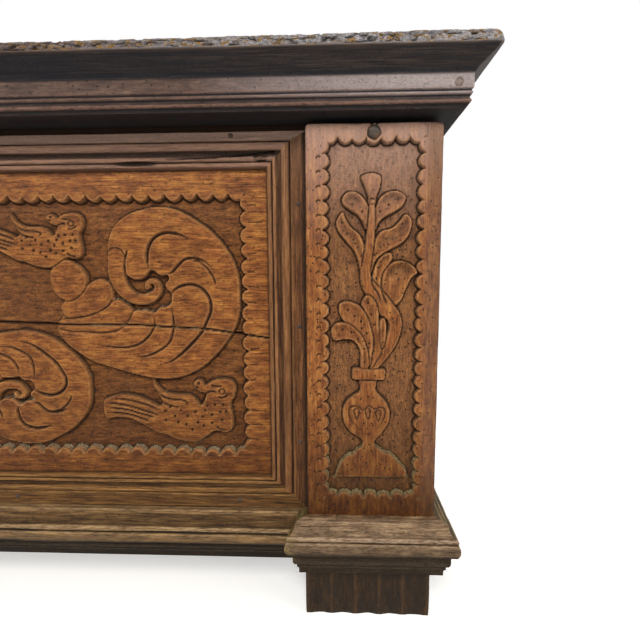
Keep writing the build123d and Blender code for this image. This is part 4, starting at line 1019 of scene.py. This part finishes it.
# Near black in its quirks with grime and painted shade, and scuffed pale where feet and brooms reach it.
base_age = dict(dust="#b09a5a", streak=1.8, scuffed=0.3, weather=0.75, holes=0.4)
base_walnut = walnut("scuffed_walnut_base", "x", "#3a2411", "#6f4e2b", "#a6804f", grime_and_shade="#100c06",
                     rubbed_and_lit="#c6a67c", seed=7.0, **base_age)
block_walnut = walnut("scuffed_walnut_base_block", "x", "#33200f", "#745538", "#c0a078", grime_and_shade="#241a0d",
                      dust="#b09a5a", rubbed_and_lit="#c4a88c", streak=1.2, scuffed=0.5, weather=0.5, holes=0.5, seed=18.0)
return_walnut = walnut("scuffed_walnut_base_return", "y", "#33261a", "#5c482d", "#887148", grime_and_shade="#1c150a",
                       rubbed_and_lit="#b39a70", seed=8.0, **base_age)
base_profile = [(0.2, 116.9), (7.6, 116.6), (10.6, 115.8), *arc((10.6, 115.8), (12.2, 115.1), (12.9, 113.8), 4),
                (13.4, 112), *arc((13.4, 112), (14.6, 105.5), (19, 99.8)),
                *arc((19, 99.8), (22.0, 97.7), (22.4, 95.2), 5), (20.6, 93.2), (22.0, 92.2), (22.8, 91.6),
                *arc((22.8, 91.6), (24, 86), (21.6, 80.2)), (20.8, 79.3), (16, 77.5), (16, 73),
                *arc((16, 73), (15, 70.4), (11.8, 68.5), 5), (11.8, 65.5), (9.5, 62.5), (9.5, 57)]
half_length, back_face = 750.0, 267.7
block_length, return_length, end_length = 139, 24, 505


def lifted(z):
    """The block under a pilaster is cut a little fuller than the run between: its heights from the run's."""
    return np.interp(z, (57, 68.5, 79.5, 91.6, 93.2, 114.3, 117), (57, 68.5, 84.6, 99.2, 100.5, 117.3, 120.1))


def under_nose_shade_and_grime(profile):
    """How much painted shade and grime darken the base under its nose."""
    return 1.3 * unit((foot_height + 26 - profile[:, 1]) / 4)


def block_shade_and_grime(profile):
    """The same under a pilaster's block, with more painted shade and grime on its nose than on its slope."""
    return under_nose_shade_and_grime(profile) + 0.45 * unit((92 - profile[:, 1]) / 2)


def return_shade_and_grime(profile):
    """The same for the short return, with painted shade and grime in its upper corner."""
    return block_shade_and_grime(profile) + 0.7 * unit((profile[:, 1] - 110) / 4)


def block_slope_wear_and_highlight(profile):
    """Wear and painted highlight on the block's slope, which faces up."""
    height = profile[:, 1]
    return 0.3 * unit(np.minimum(height - 97, 112 - height) / 3)


base_settings = dict(chips=2.0, darkened=0.0, underside=0.9)
pair = dict(twins=("_right", "_left"), **base_settings)
wall_back = [(0, foot_height), (0, base_top)]
block_back = [(-return_length, foot_height), (-return_length, base_top)]
run("base_moulding_front", base_profile, wall_back,
    lambda t, z, s: ((2 * s - 1) * (pilaster_inner - t), front_face - t, z), rail_length, base_walnut,
    "base_walnut", seed=41, wander=1.0, dusty=lambda x: 0.9 * unit((x - 590) / 18) ** 2,
    overhung=under_nose_shade_and_grime, **base_settings)
run("base_break", base_profile, block_back,
    lambda t, z, s: (np.where(t < 0, pilaster_inner + s * (half_length - pilaster_inner),
                              pilaster_inner - t + s * (half_length - pilaster_inner + 2 * t)),
                     pilaster_face - t, lifted(z)),
    block_length, block_walnut, "base_walnut", seed=45, station=3.0, wander=0.9,
    dusty=lambda x: 0.8 * unit((600 - x) / 10), overhung=block_shade_and_grime, wiped_and_lit=block_slope_wear_and_highlight, cove=0.0, **pair)
run("base_return", base_profile, wall_back,
    lambda t, z, s: (pilaster_inner - t, front_face - t + s * (pilaster_face - front_face),
                     z + s * (lifted(z) - z)),
    return_length, return_walnut, "base_walnut", seed=49, station=2.0,
    dusty=lambda x: 0.6 * unit((x - 587) / 5), overhung=return_shade_and_grime, **pair)
run("base_moulding_end", base_profile, wall_back,
    lambda t, z, s: (half_length + t, pilaster_face - t + s * (back_face - pilaster_face + t), lifted(z)),
    end_length, return_walnut, "base_walnut", seed=53, overhung=block_shade_and_grime, **pair)


# ---------------------------------------------------------------- feet
# Blocks of walnut end on to the floor, the front ones hollowed with five broad flutes. Damp floors
# have eaten their soles, and their arrises are rubbed pale.
# Damp drawn up through the end grain has left it dull, dark and greyish.
foot_walnut = walnut("damp_stained_walnut_foot", "z", "#2a1f15", "#483624", "#704f2f", weather=0.6, seed=9.0)


def foot(name, low_y, high_y, fluted, seed):
    """A block foot: rings of its plan outline from the sole to the top, with closed ends.

    A flute is an arc of its radius whose centre lies in front of the face, flattened."""
    inner, outer = 607.8, 747.1
    flute_pitch, flute_radius, flute_centre, flattened, flute_reach = 27, 20.0, 17.0, 0.45, 3.2
    outline = []
    flutes = [inner + (outer - inner - 4 * flute_pitch) / 2 + k * flute_pitch for k in range(5)]
    for x in np.arange(inner, outer + 0.5, 1.5):
        dip = 0.0
        if fluted:
            off = min(abs(x - flute) for flute in flutes)
            dip = flattened * max(0.0, math.sqrt(max(0, flute_radius**2 - off**2)) - flute_centre)
        outline.append((x, low_y + dip))
    outline += [(outer, y) for y in np.arange(low_y + 4, high_y, 4)]
    outline += [(x, high_y) for x in np.arange(outer, inner, -4)]
    outline += [(inner, y) for y in np.arange(high_y, low_y + 2, -4)]
    outline = np.array(outline)
    middle = np.array([(inner + outer) / 2, (low_y + high_y) / 2])
    levels = np.concatenate([[0], np.linspace(0.8, foot_height, 24)])
    count = len(outline)
    path = np.arange(count) * 1.5
    rings = []
    for z in levels:
        wear = 0.5 * lumps(path, path * 0 + z, 9, 22, seed) - 0.4 + 0.3 * lumps(path, path * 0 + z, 3, 60, seed + 1)
        worn_sole = 0.7 * math.exp(-z / 2.5)
        inward = (middle - outline) / np.hypot(*(middle - outline).T)[:, None]
        spot = outline + inward * (worn_sole - wear)[:, None]
        spot[:, 0] = np.clip(spot[:, 0], inner, outer)
        rings.append(np.column_stack([spot, np.full(count, z)]))
    vertices = np.vstack(rings)
    faces = []
    for level in range(len(levels) - 1):
        for k in range(count):
            n = (k + 1) % count
            faces.append([level * count + k, level * count + n, (level + 1) * count + n, (level + 1) * count + k])
    faces.append(list(range(count - 1, -1, -1)))
    faces.append([(len(levels) - 1) * count + k for k in range(count)])
    on_front = (outline[:, 1] < low_y + flute_reach) * fluted
    dip = np.maximum(0.0, outline[:, 1] - low_y) / flattened * on_front
    land = (outline[:, 0] - flutes[0] + flute_pitch / 2) % flute_pitch
    to_land = np.minimum(land, flute_pitch - land)
    arris = unit(1 - to_land / 1.6) * on_front
    worn_and_lit = np.tile(arris * 0.7, len(levels))
    # Painted shade lies a little in the flutes, and painted shadow at the top, under the base moulding.
    hollow = np.tile(unit(dip / 3) * 0.12, len(levels))
    hollow += np.repeat(unit((levels - 46) / 11) * 0.5, count)
    wear = {"worn_and_lit": worn_and_lit, "hollow": hollow, "dusty": np.zeros_like(worn_and_lit), "proud": np.ones_like(worn_and_lit)}
    for side, (points, sides) in (("_right", (vertices, faces)), ("_left", turned_over(vertices, faces))):
        made = piece(name + side, points, sides, foot_walnut, "chest", "foot_walnut", [name + side], **wear)
        made.data.set_sharp_from_angle(angle=math.radians(60))


foot_depth = 120
foot("foot_front", pilaster_face, pilaster_face + foot_depth, True, 61)
foot("foot_back", back_face - foot_depth, back_face, False, 67)


# ---------------------------------------------------------------- boards that are out of sight
# The ends are walnut, dovetailed into the front and back; the back and the bottom are poplar planks,
# left rough from the adze and never waxed. Their arrises have only softened with age.
# The walnut is plain and broadly streaked. The poplar is fawn, paler and quite matt.
end_walnut = walnut("waxed_walnut_end", "y", "#4a2f1e", "#74502f", "#a0744a", streak=5.0, weather=0.6, seed=11.0)
poplar_tones = dict(dark="#654c36", middle="#8f7254", pale="#b5987a", grime_and_shade="#33271b", wax=0.7)
poplar = walnut("unwaxed_poplar", "x", streak=6.0, weather=0.6, seed=12.0, **poplar_tones)
batten_poplar = walnut("unwaxed_poplar_batten", "y", streak=3.0, seed=12.5, **poplar_tones)


def eased(name, width, material, body, slot):
    """A CAD node's shape with its arrises taken off."""
    shape = bmesh.new()
    shape.from_mesh(nodes[name].data)
    bmesh.ops.remove_doubles(shape, verts=shape.verts, dist=1e-5)
    bmesh.ops.dissolve_limit(shape, angle_limit=0.01, verts=shape.verts, edges=shape.edges)
    sharp = [edge for edge in shape.edges if edge.is_manifold and edge.calc_face_angle() > math.radians(50)]
    bmesh.ops.bevel(shape, geom=sharp, offset=width / 1000, segments=2, profile=0.6, affect="EDGES",
                    clamp_overlap=True)
    mesh = bpy.data.meshes.new(name + "_eased")
    shape.to_mesh(mesh)
    shape.free()
    mesh.polygons.foreach_set("use_smooth", [True] * len(mesh.polygons))
    mesh.set_sharp_from_angle(angle=math.radians(35))
    put_in(name + "_eased", mesh, material, body, [name])


for name, material, slot in (("back_board", poplar, "poplar"), ("bottom_board_front", poplar, "poplar"),
                             ("bottom_board_back", poplar, "poplar"), ("end_board_right", end_walnut, "end_walnut"),
                             ("end_board_left", end_walnut, "end_walnut")):
    eased(name, 1.2, material, "chest", slot)


# ---------------------------------------------------------------- lid planks
# Two walnut planks, 25 mm thick, butted and held by battens. The front and ends overhang 43 mm, with
# a rounded nose over a long bevel. Beetles have eaten the nose to a crust; the top is worn and scrubbed.
lid_front, lid_back, lid_bottom, lid_top = -280.3, 280.3, 575.0, 600.0
lid_seam, lid_reach = 49.7, 793.0
# Scrubbed and dry, a greyed brown with hardly any wax, and crumbling pink and ochre at the edge.
lid_walnut = walnut("beetle_eaten_walnut_lid", "x", "#3b2c22", "#6b5443", "#a58c76", grime_and_shade="#2c2f36",
                    rubbed_and_lit="#b9a592", dust="#b0a698", crumbs="#9f8783", stain="#cf9c3e", faded_and_lit="#e6e0e3",
                    streak=3.5, scuffed=0.2, weather=0.8, wax=0.66, holes=0.0, seed=13.0)
nose = [(21, lid_bottom), (21, lid_bottom + 0.1), (1.8, 590.6), *arc((1.8, 590.6), (0.4, 592), (0, 593.8)),
        *arc((0, 593.8), (0.6, 597.4), (3.2, lid_top)), (9, lid_top)]


def lid_plank(name, front, back, front_is_moulded, seed):
    """A plank of the lid: rings along its moulded sides, then its top as a grid inside them."""
    along_step, deep_step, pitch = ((1.7, 6.0, 0.75))
    bevel = dense(nose[:3], 2.4)[:-1]
    profile = np.vstack([bevel, dense(nose[2:], pitch)])
    tangent = np.gradient(profile, axis=0)
    normal = np.stack([-tangent[:, 1], tangent[:, 0]], 1) / np.maximum(np.hypot(*tangent.T), 1e-6)[:, None]
    inside, nose_height = (12, 588), 593.2
    normal *= np.sign((normal * (profile - inside)).sum(1) + 1e-9)[:, None]
    crust = np.exp(-(np.clip(nose_height - profile[:, 1], 0, 99) / 1.4)**2) * (profile[:, 0] < 9)
    arc_length = np.concatenate([[0], np.cumsum(np.hypot(*np.diff(profile, axis=0).T))])
    long, deep = int(2 * lid_reach / along_step), int((back - front) / deep_step)
    count = long + 1 + 2 * deep
    y_share = np.arange(deep) / deep

    def ring(t):
        """x and y round the plank's three outer sides, t in from the edge."""
        x_out, y_out = lid_reach - t, front + t * front_is_moulded
        side = back + (y_out - back) * y_share
        along = np.linspace(-x_out, x_out, long + 1)
        return np.column_stack([np.concatenate([np.full(deep, -x_out), along, np.full(deep, x_out)]),
                                np.concatenate([side, np.full(long + 1, y_out), side[::-1]])])

    outward = np.zeros((count, 2))
    outward[:deep, 0], outward[-deep:, 0] = -1, 1
    outward[deep:deep + long + 1, 1] = -1 * front_is_moulded
    outward[deep, 0], outward[deep + long, 0] = -1, 1
    moulded = np.abs(outward).max(1)
    length = np.concatenate([[0], np.cumsum(np.hypot(*np.diff(ring(0), axis=0).T))])
    # Beetle galleries: short channels laid open along the nose, 1 to 2.5 mm wide.
    eaten = Carving(length, arc_length, 0.0)
    eaten.height = 0.4 * lumps(eaten.x, eaten.z, 60, 12, seed + 3) + 0.4 * lumps(eaten.x, eaten.z, 5, 1.8, seed + 4)
    chance = np.random.default_rng(seed)
    first, last = arc_length[crust > 0.4][[0, -1]]
    for _ in range(int(length[-1] / 1.1)):
        start = chance.uniform(0, length[-1])
        low = chance.uniform(first - 1, last)
        run_on = chance.uniform(3, 13)
        climb, bend = run_on * chance.normal(0.1, 0.28), chance.uniform(-0.6, 0.6)
        if min(np.abs(length[[deep, deep + long]] - start - run_on / 2)) < 12:
            continue
        eaten.line([(start, low), (start + run_on / 2, low + climb / 2 + bend), (start + run_on, low + climb)],
                   chance.uniform(0.4, 1.0), chance.uniform(0.7, 1.9))
    shift = eaten.height.T * crust[:, None] * moulded
    gallery = unit(-eaten.height.T / 1.6 - 0.15) * crust[:, None]
    lip = unit(eaten.height.T / 0.5) * crust[:, None]
    vertices, fields = [], {"eaten": [], "worn_and_lit": [], "hollow": [], "faded_and_lit": []}
    for k, (t, z) in enumerate(profile):
        spot = ring(t) - outward * (normal[k, 0] * shift[k])[:, None]
        from_end, from_front = lid_reach - t - np.abs(spot[:, 0]), spot[:, 1] - front - t
        swollen = 1.0 + 1.6 * unit((np.abs(spot[:, 0]) - 450) / 300)
        swollen -= 3.2 * unit(1 - from_end / 9) ** 2 * (from_front < 9) * front_is_moulded
        # Its corners are rubbed round in plan.
        inwards, backwards = corner_round(from_end, from_front, max(8.0 - t, 1e-6) * front_is_moulded)
        spot = spot + np.column_stack([-np.sign(spot[:, 0]) * inwards, backwards])
        vertices.append(np.column_stack([spot, z + normal[k, 1] * shift[k] + swollen * crust[k] * (z > 594)]))
        fields["eaten"].append(crust[k] * (0.75 + 0.25 * moulded))
        fields["worn_and_lit"].append(lip[k] * 0.7)
        # The bevel looks down and is painted dark with shade and grime, less towards either end of the front and
        # less again on the ends, whose bevel a painted reflection pales.
        bevel_shade_and_grime = 0.97 - 0.17 * unit((np.abs(spot[:, 0]) - 330) / 300) - 0.4 * np.abs(outward[:, 0])
        bevel_shade_and_grime = np.where(z < 577.5, 1, bevel_shade_and_grime) if k else 0.3
        fields["hollow"].append(np.maximum(gallery[k], unit((592 - z) / 2) * bevel_shade_and_grime))
        fields["faded_and_lit"].append(np.maximum(crust[k] * unit((np.abs(spot[:, 0]) - 330) / 260),
                                          0.45 * np.abs(outward[:, 0]) * (lid_bottom < z < 592)))
    faces = []
    for k in range(len(profile) - 1):
        for s in range(count - 1):
            faces.append([k * count + s, k * count + s + 1, (k + 1) * count + s + 1, (k + 1) * count + s])
    last = (len(profile) - 1) * count
    top = np.zeros((long + 1, deep + 1), int)
    top[0, :] = [last + j for j in range(deep + 1)]
    top[:, deep] = [last + deep + i for i in range(long + 1)]
    top[long, :] = [last + deep + long + (deep - j) for j in range(deep + 1)]
    x_in = lid_reach - profile[-1, 0]
    y_in = front + profile[-1, 0] * front_is_moulded
    i, j = np.meshgrid(np.arange(1, long), np.arange(0, deep), indexing="ij")
    x = -x_in + 2 * x_in * i / long
    y = back + (y_in - back) * j / deep
    dip = 0.6 * lumps(y, x, 75, 320, seed + 5) + 0.3 * lumps(y, x, 11, 130, seed + 6) - 0.4
    rim = np.minimum(1, np.minimum(x_in - np.abs(x), y - y_in + 99 * (not front_is_moulded)) / 12)
    first = count * len(profile)
    vertices = np.vstack(vertices + [np.column_stack([v.ravel() for v in (x, y, lid_top + dip * unit(rim))])])
    top[1:long, 0:deep] = first + np.arange(x.size).reshape(x.shape)
    rest = {"eaten": 0.0, "worn_and_lit": 0.25, "hollow": 0.0, "faded_and_lit": 0.08}
    wear = {label: np.concatenate([*values, np.full(x.size, rest[label])]) for label, values in fields.items()}
    for a in range(long):
        for b in range(deep):
            faces.append([top[a, b], top[a, b + 1], top[a + 1, b + 1], top[a + 1, b]])
    # Its underside, then its sawn back edge. The rear plank's sawn front edge is the middle of its rings.
    faces.append(list(range(count - 1, -1, -1)))
    faces.append([k * count for k in range(len(profile))] + [int(top[a, 0]) for a in range(1, long)]
                 + [k * count + count - 1 for k in range(len(profile) - 1, -1, -1)])
    made = piece(name + "_worn", vertices, outward_faces(vertices, faces), lid_walnut, "lid", "lid_walnut",
                 [name], proud=np.ones(len(vertices)), **wear)
    made.data.set_sharp_from_angle(angle=math.radians(60))


lid_plank("lid_board_front", lid_front, lid_seam, True, 71)
lid_plank("lid_board_back", lid_seam, lid_back, False, 81)


# ---------------------------------------------------------------- moulding under the lid
# A walnut moulding pegged under the overhang along the front and both ends: a tall plain fascia over a
# quirk, a bead and a small ogee. It laps over the chest like a box lid's rim.
# Waxed and seldom touched: a plain dark brown with a soft gloss.
rim_tones = dict(dark="#3a271f", middle="#594237", pale="#7c6050", grime_and_shade="#1c1a1d", faded_and_lit="#b3a6a4",
                 rubbed_and_lit="#8c6857", weather=0.2, wax=0.46)
rim_walnut = walnut("waxed_walnut_lid_moulding", "x", seed=15.0, **rim_tones)
rim_end_walnut = walnut("waxed_walnut_lid_moulding_end", "y", seed=16.0, **rim_tones)
rim_bottom, rim_length, rim_end_length = 544, 1544, 518
rim_profile = [(16.4, 544.0), (16.8, 544.8), (17.2, 546.6), (18.6, 547.6),
               *arc((18.6, 547.6), (20.3, 549), (20.4, 550.6), 5),
               *arc((20.4, 550.6), (19.0, 552.4), (19.4, 554.6), 5),
               *arc((19.4, 554.6), (21.2, 556.2), (20.9, 558), 5),
               (20.0, 558.9), (21.5, 560.2), (22, 560.9), (22, 574.8)]
rim_settings = dict(rough=0.2, chips=0.6, splits=0.2, underside=1.0)


def rim_shade_and_grime(profile):
    """Painted shade and grime along the rim's lower edge and underside, and where the lid's bevel meets it."""
    return unit((548 - profile[:, 1]) / 1.5) + unit((profile[:, 1] - 572.5) / 2)


# Painted sheen and dust pale the fascia towards both ends of the front and along the ends.
run("lid_moulding_front", [(-22, rim_bottom), *rim_profile], [(22, lid_bottom), (-22, lid_bottom)],
    lambda t, z, s: ((2 * s - 1) * (half_length + np.maximum(t, 2)), pilaster_face - t, z), rim_length,
    rim_walnut, "lid_walnut", body="lid", seed=91, overhung=rim_shade_and_grime,
    faded_and_lit=lambda x, z: (0.05 + 0.95 * unit((x - 500) / 200)) * np.clip((z - 552) / 6, 0.1, 1),
    **rim_settings)
run("lid_moulding_end", [(2, rim_bottom), *rim_profile], [(22, lid_bottom), (2, lid_bottom)],
    lambda t, z, s: (half_length + t, pilaster_face - t + s * (lid_back - pilaster_face + t), z),
    rim_end_length, rim_end_walnut, "lid_walnut", body="lid", twins=("_right", "_left"), seed=95,
    overhung=rim_shade_and_grime, faded_and_lit=lambda x, z: 0.7 * np.clip((z - 552) / 6, 0.1, 1), **rim_settings)


def recoloured(name, material):
    """Give a material to a CAD node that keeps its own shape."""
    nodes[name].data.materials.clear()
    nodes[name].data.materials.append(material)


# End grain cut off flush, paler and greyer than the moulding round it.
peg_wood = walnut("end_grain_walnut_peg", "y", "#77675f", "#8f7f77", "#a5968e", holes=0.0, seed=17.0)
recoloured("lid_pegs", peg_wood)
for side in ("left", "right"):
    eased("lid_batten_" + side, 1.5, batten_poplar, "lid", "poplar")


# ---------------------------------------------------------------- forged iron
# Hinges, lock, key and every nail are wrought iron, hammered at the forge and never painted. It has a
# dull dark sheen, with hammer marks 7 mm across and pits of 1.6 mm, and brown rust in blooms of 14 mm,
# where it is matt.
iron, tree = empty_material("hammered_wrought_iron")
spot = node(tree, "ShaderNodeTexCoord").outputs["Object"]
hammer = node(tree, "ShaderNodeTexVoronoi", {"Vector": spot, "Scale": 1000 / 7.0, "Smoothness": 0.6},
              feature="SMOOTH_F1").outputs["Distance"]
pits = node(tree, "ShaderNodeTexNoise", {"Vector": spot, "Scale": 1000 / 1.6, "Detail": 4.0}).outputs[0]
rust = node(tree, "ShaderNodeTexNoise", {"Vector": spot, "Scale": 1000 / 14.0, "Detail": 5.0,
                                         "Roughness": 0.65}).outputs[0]
rusty = node(tree, "ShaderNodeValToRGB", {0: rust}, stops=[
    (0.42, srgb("#3b3a38")), (0.52, srgb("#463a30")), (0.66, srgb("#5e4029"))]).outputs[0]
bare = node(tree, "ShaderNodeValToRGB", {0: rust}, stops=[
    (0.45, (0.75, 0.75, 0.75, 1)), (0.6, (0.1, 0.1, 0.1, 1))]).outputs[0]
rough = node(tree, "ShaderNodeMapRange", {"Value": pits, "To Min": 0.42, "To Max": 0.72}).outputs[0]
level = node(tree, "ShaderNodeMath", {0: hammer, 1: pits}, operation="ADD").outputs[0]
dents = node(tree, "ShaderNodeBump", {"Height": level, "Strength": 0.5, "Distance": 0.0006}).outputs[0]
metal = node(tree, "ShaderNodeBsdfPrincipled", {"Base Color": rusty, "Metallic": bare, "Roughness": rough,
                                                "Normal": dents})
node(tree, "ShaderNodeOutputMaterial", {"Surface": metal.outputs[0]})
for side in ("left", "right"):
    eased("hinge_back_strap_" + side, 0.5, iron, "chest", "forged_iron")
    eased("hinge_lid_strap_" + side, 0.5, iron, "lid", "forged_iron")
for name, body in (("escutcheon", "chest"), ("lock_plate", "chest"), ("bolt_guides", "chest"),
                   ("lid_staple", "lid"), ("lock_bolt", "lock_bolt")):
    eased(name, 0.4, iron, body, "forged_iron")
for name in ("key", "hinge_pin_left", "hinge_pin_right", "hinge_back_nails", "hinge_lid_nails",
             "escutcheon_pins", "lock_nails", "staple_nails", "batten_nails"):
    recoloured(name, iron)
# The frame's small brads have rusted through their wax to the walnut's own brown.
brown_iron, tree = empty_material("rusted_iron_brads")
brown = node(tree, "ShaderNodeBsdfPrincipled", {"Base Color": srgb("#3b2a20"), "Metallic": 0.0,
                                                "Roughness": 0.7})
node(tree, "ShaderNodeOutputMaterial", {"Surface": brown.outputs[0]})
recoloured("frame_brads", brown_iron)


# ---------------------------------------------------------------- pilaster studs
# One big nail with a domed head through each pilaster's top, its dome flattened by the hammer.
stud_height, stud_radius, stud_rise, stud_sides = 528.4, 7.3, 5.0, 28
dome = bmesh.new()
for side in (-1, 1):
    rings = []
    for angle in np.linspace(0, math.pi / 2, 9):
        ring = []
        for turn in np.arange(stud_sides) / stud_sides * math.tau:
            blow = 1 + 0.05 * math.sin(3 * turn + 1) * math.sin(angle) + 0.04 * math.sin(5 * turn + 2)
            radius = stud_radius * math.cos(angle) ** 0.8 * blow
            proud = stud_rise * math.sin(angle) * (1 + 0.05 * math.cos(4 * turn))
            ring.append(dome.verts.new(((side * pilaster_middle + radius * math.cos(turn)) / 1000,
                                        (pilaster_face + 0.6 - proud) / 1000,
                                        (stud_height + radius * math.sin(turn)) / 1000)))
        rings.append(ring)
    for low, high in zip(rings, rings[1:]):
        for k in range(stud_sides):
            n = (k + 1) % stud_sides
            dome.faces.new([low[k], low[n], high[n], high[k]])
    dome.faces.new(rings[0][::-1])
bmesh.ops.remove_doubles(dome, verts=dome.verts, dist=1e-6)
bmesh.ops.recalc_face_normals(dome, faces=dome.faces)
stud_mesh = bpy.data.meshes.new("stud_heads")
dome.to_mesh(stud_mesh)
stud_mesh.polygons.foreach_set("use_smooth", [True] * len(stud_mesh.polygons))
put_in("stud_heads", stud_mesh, iron, "chest", ["pilaster_studs"])
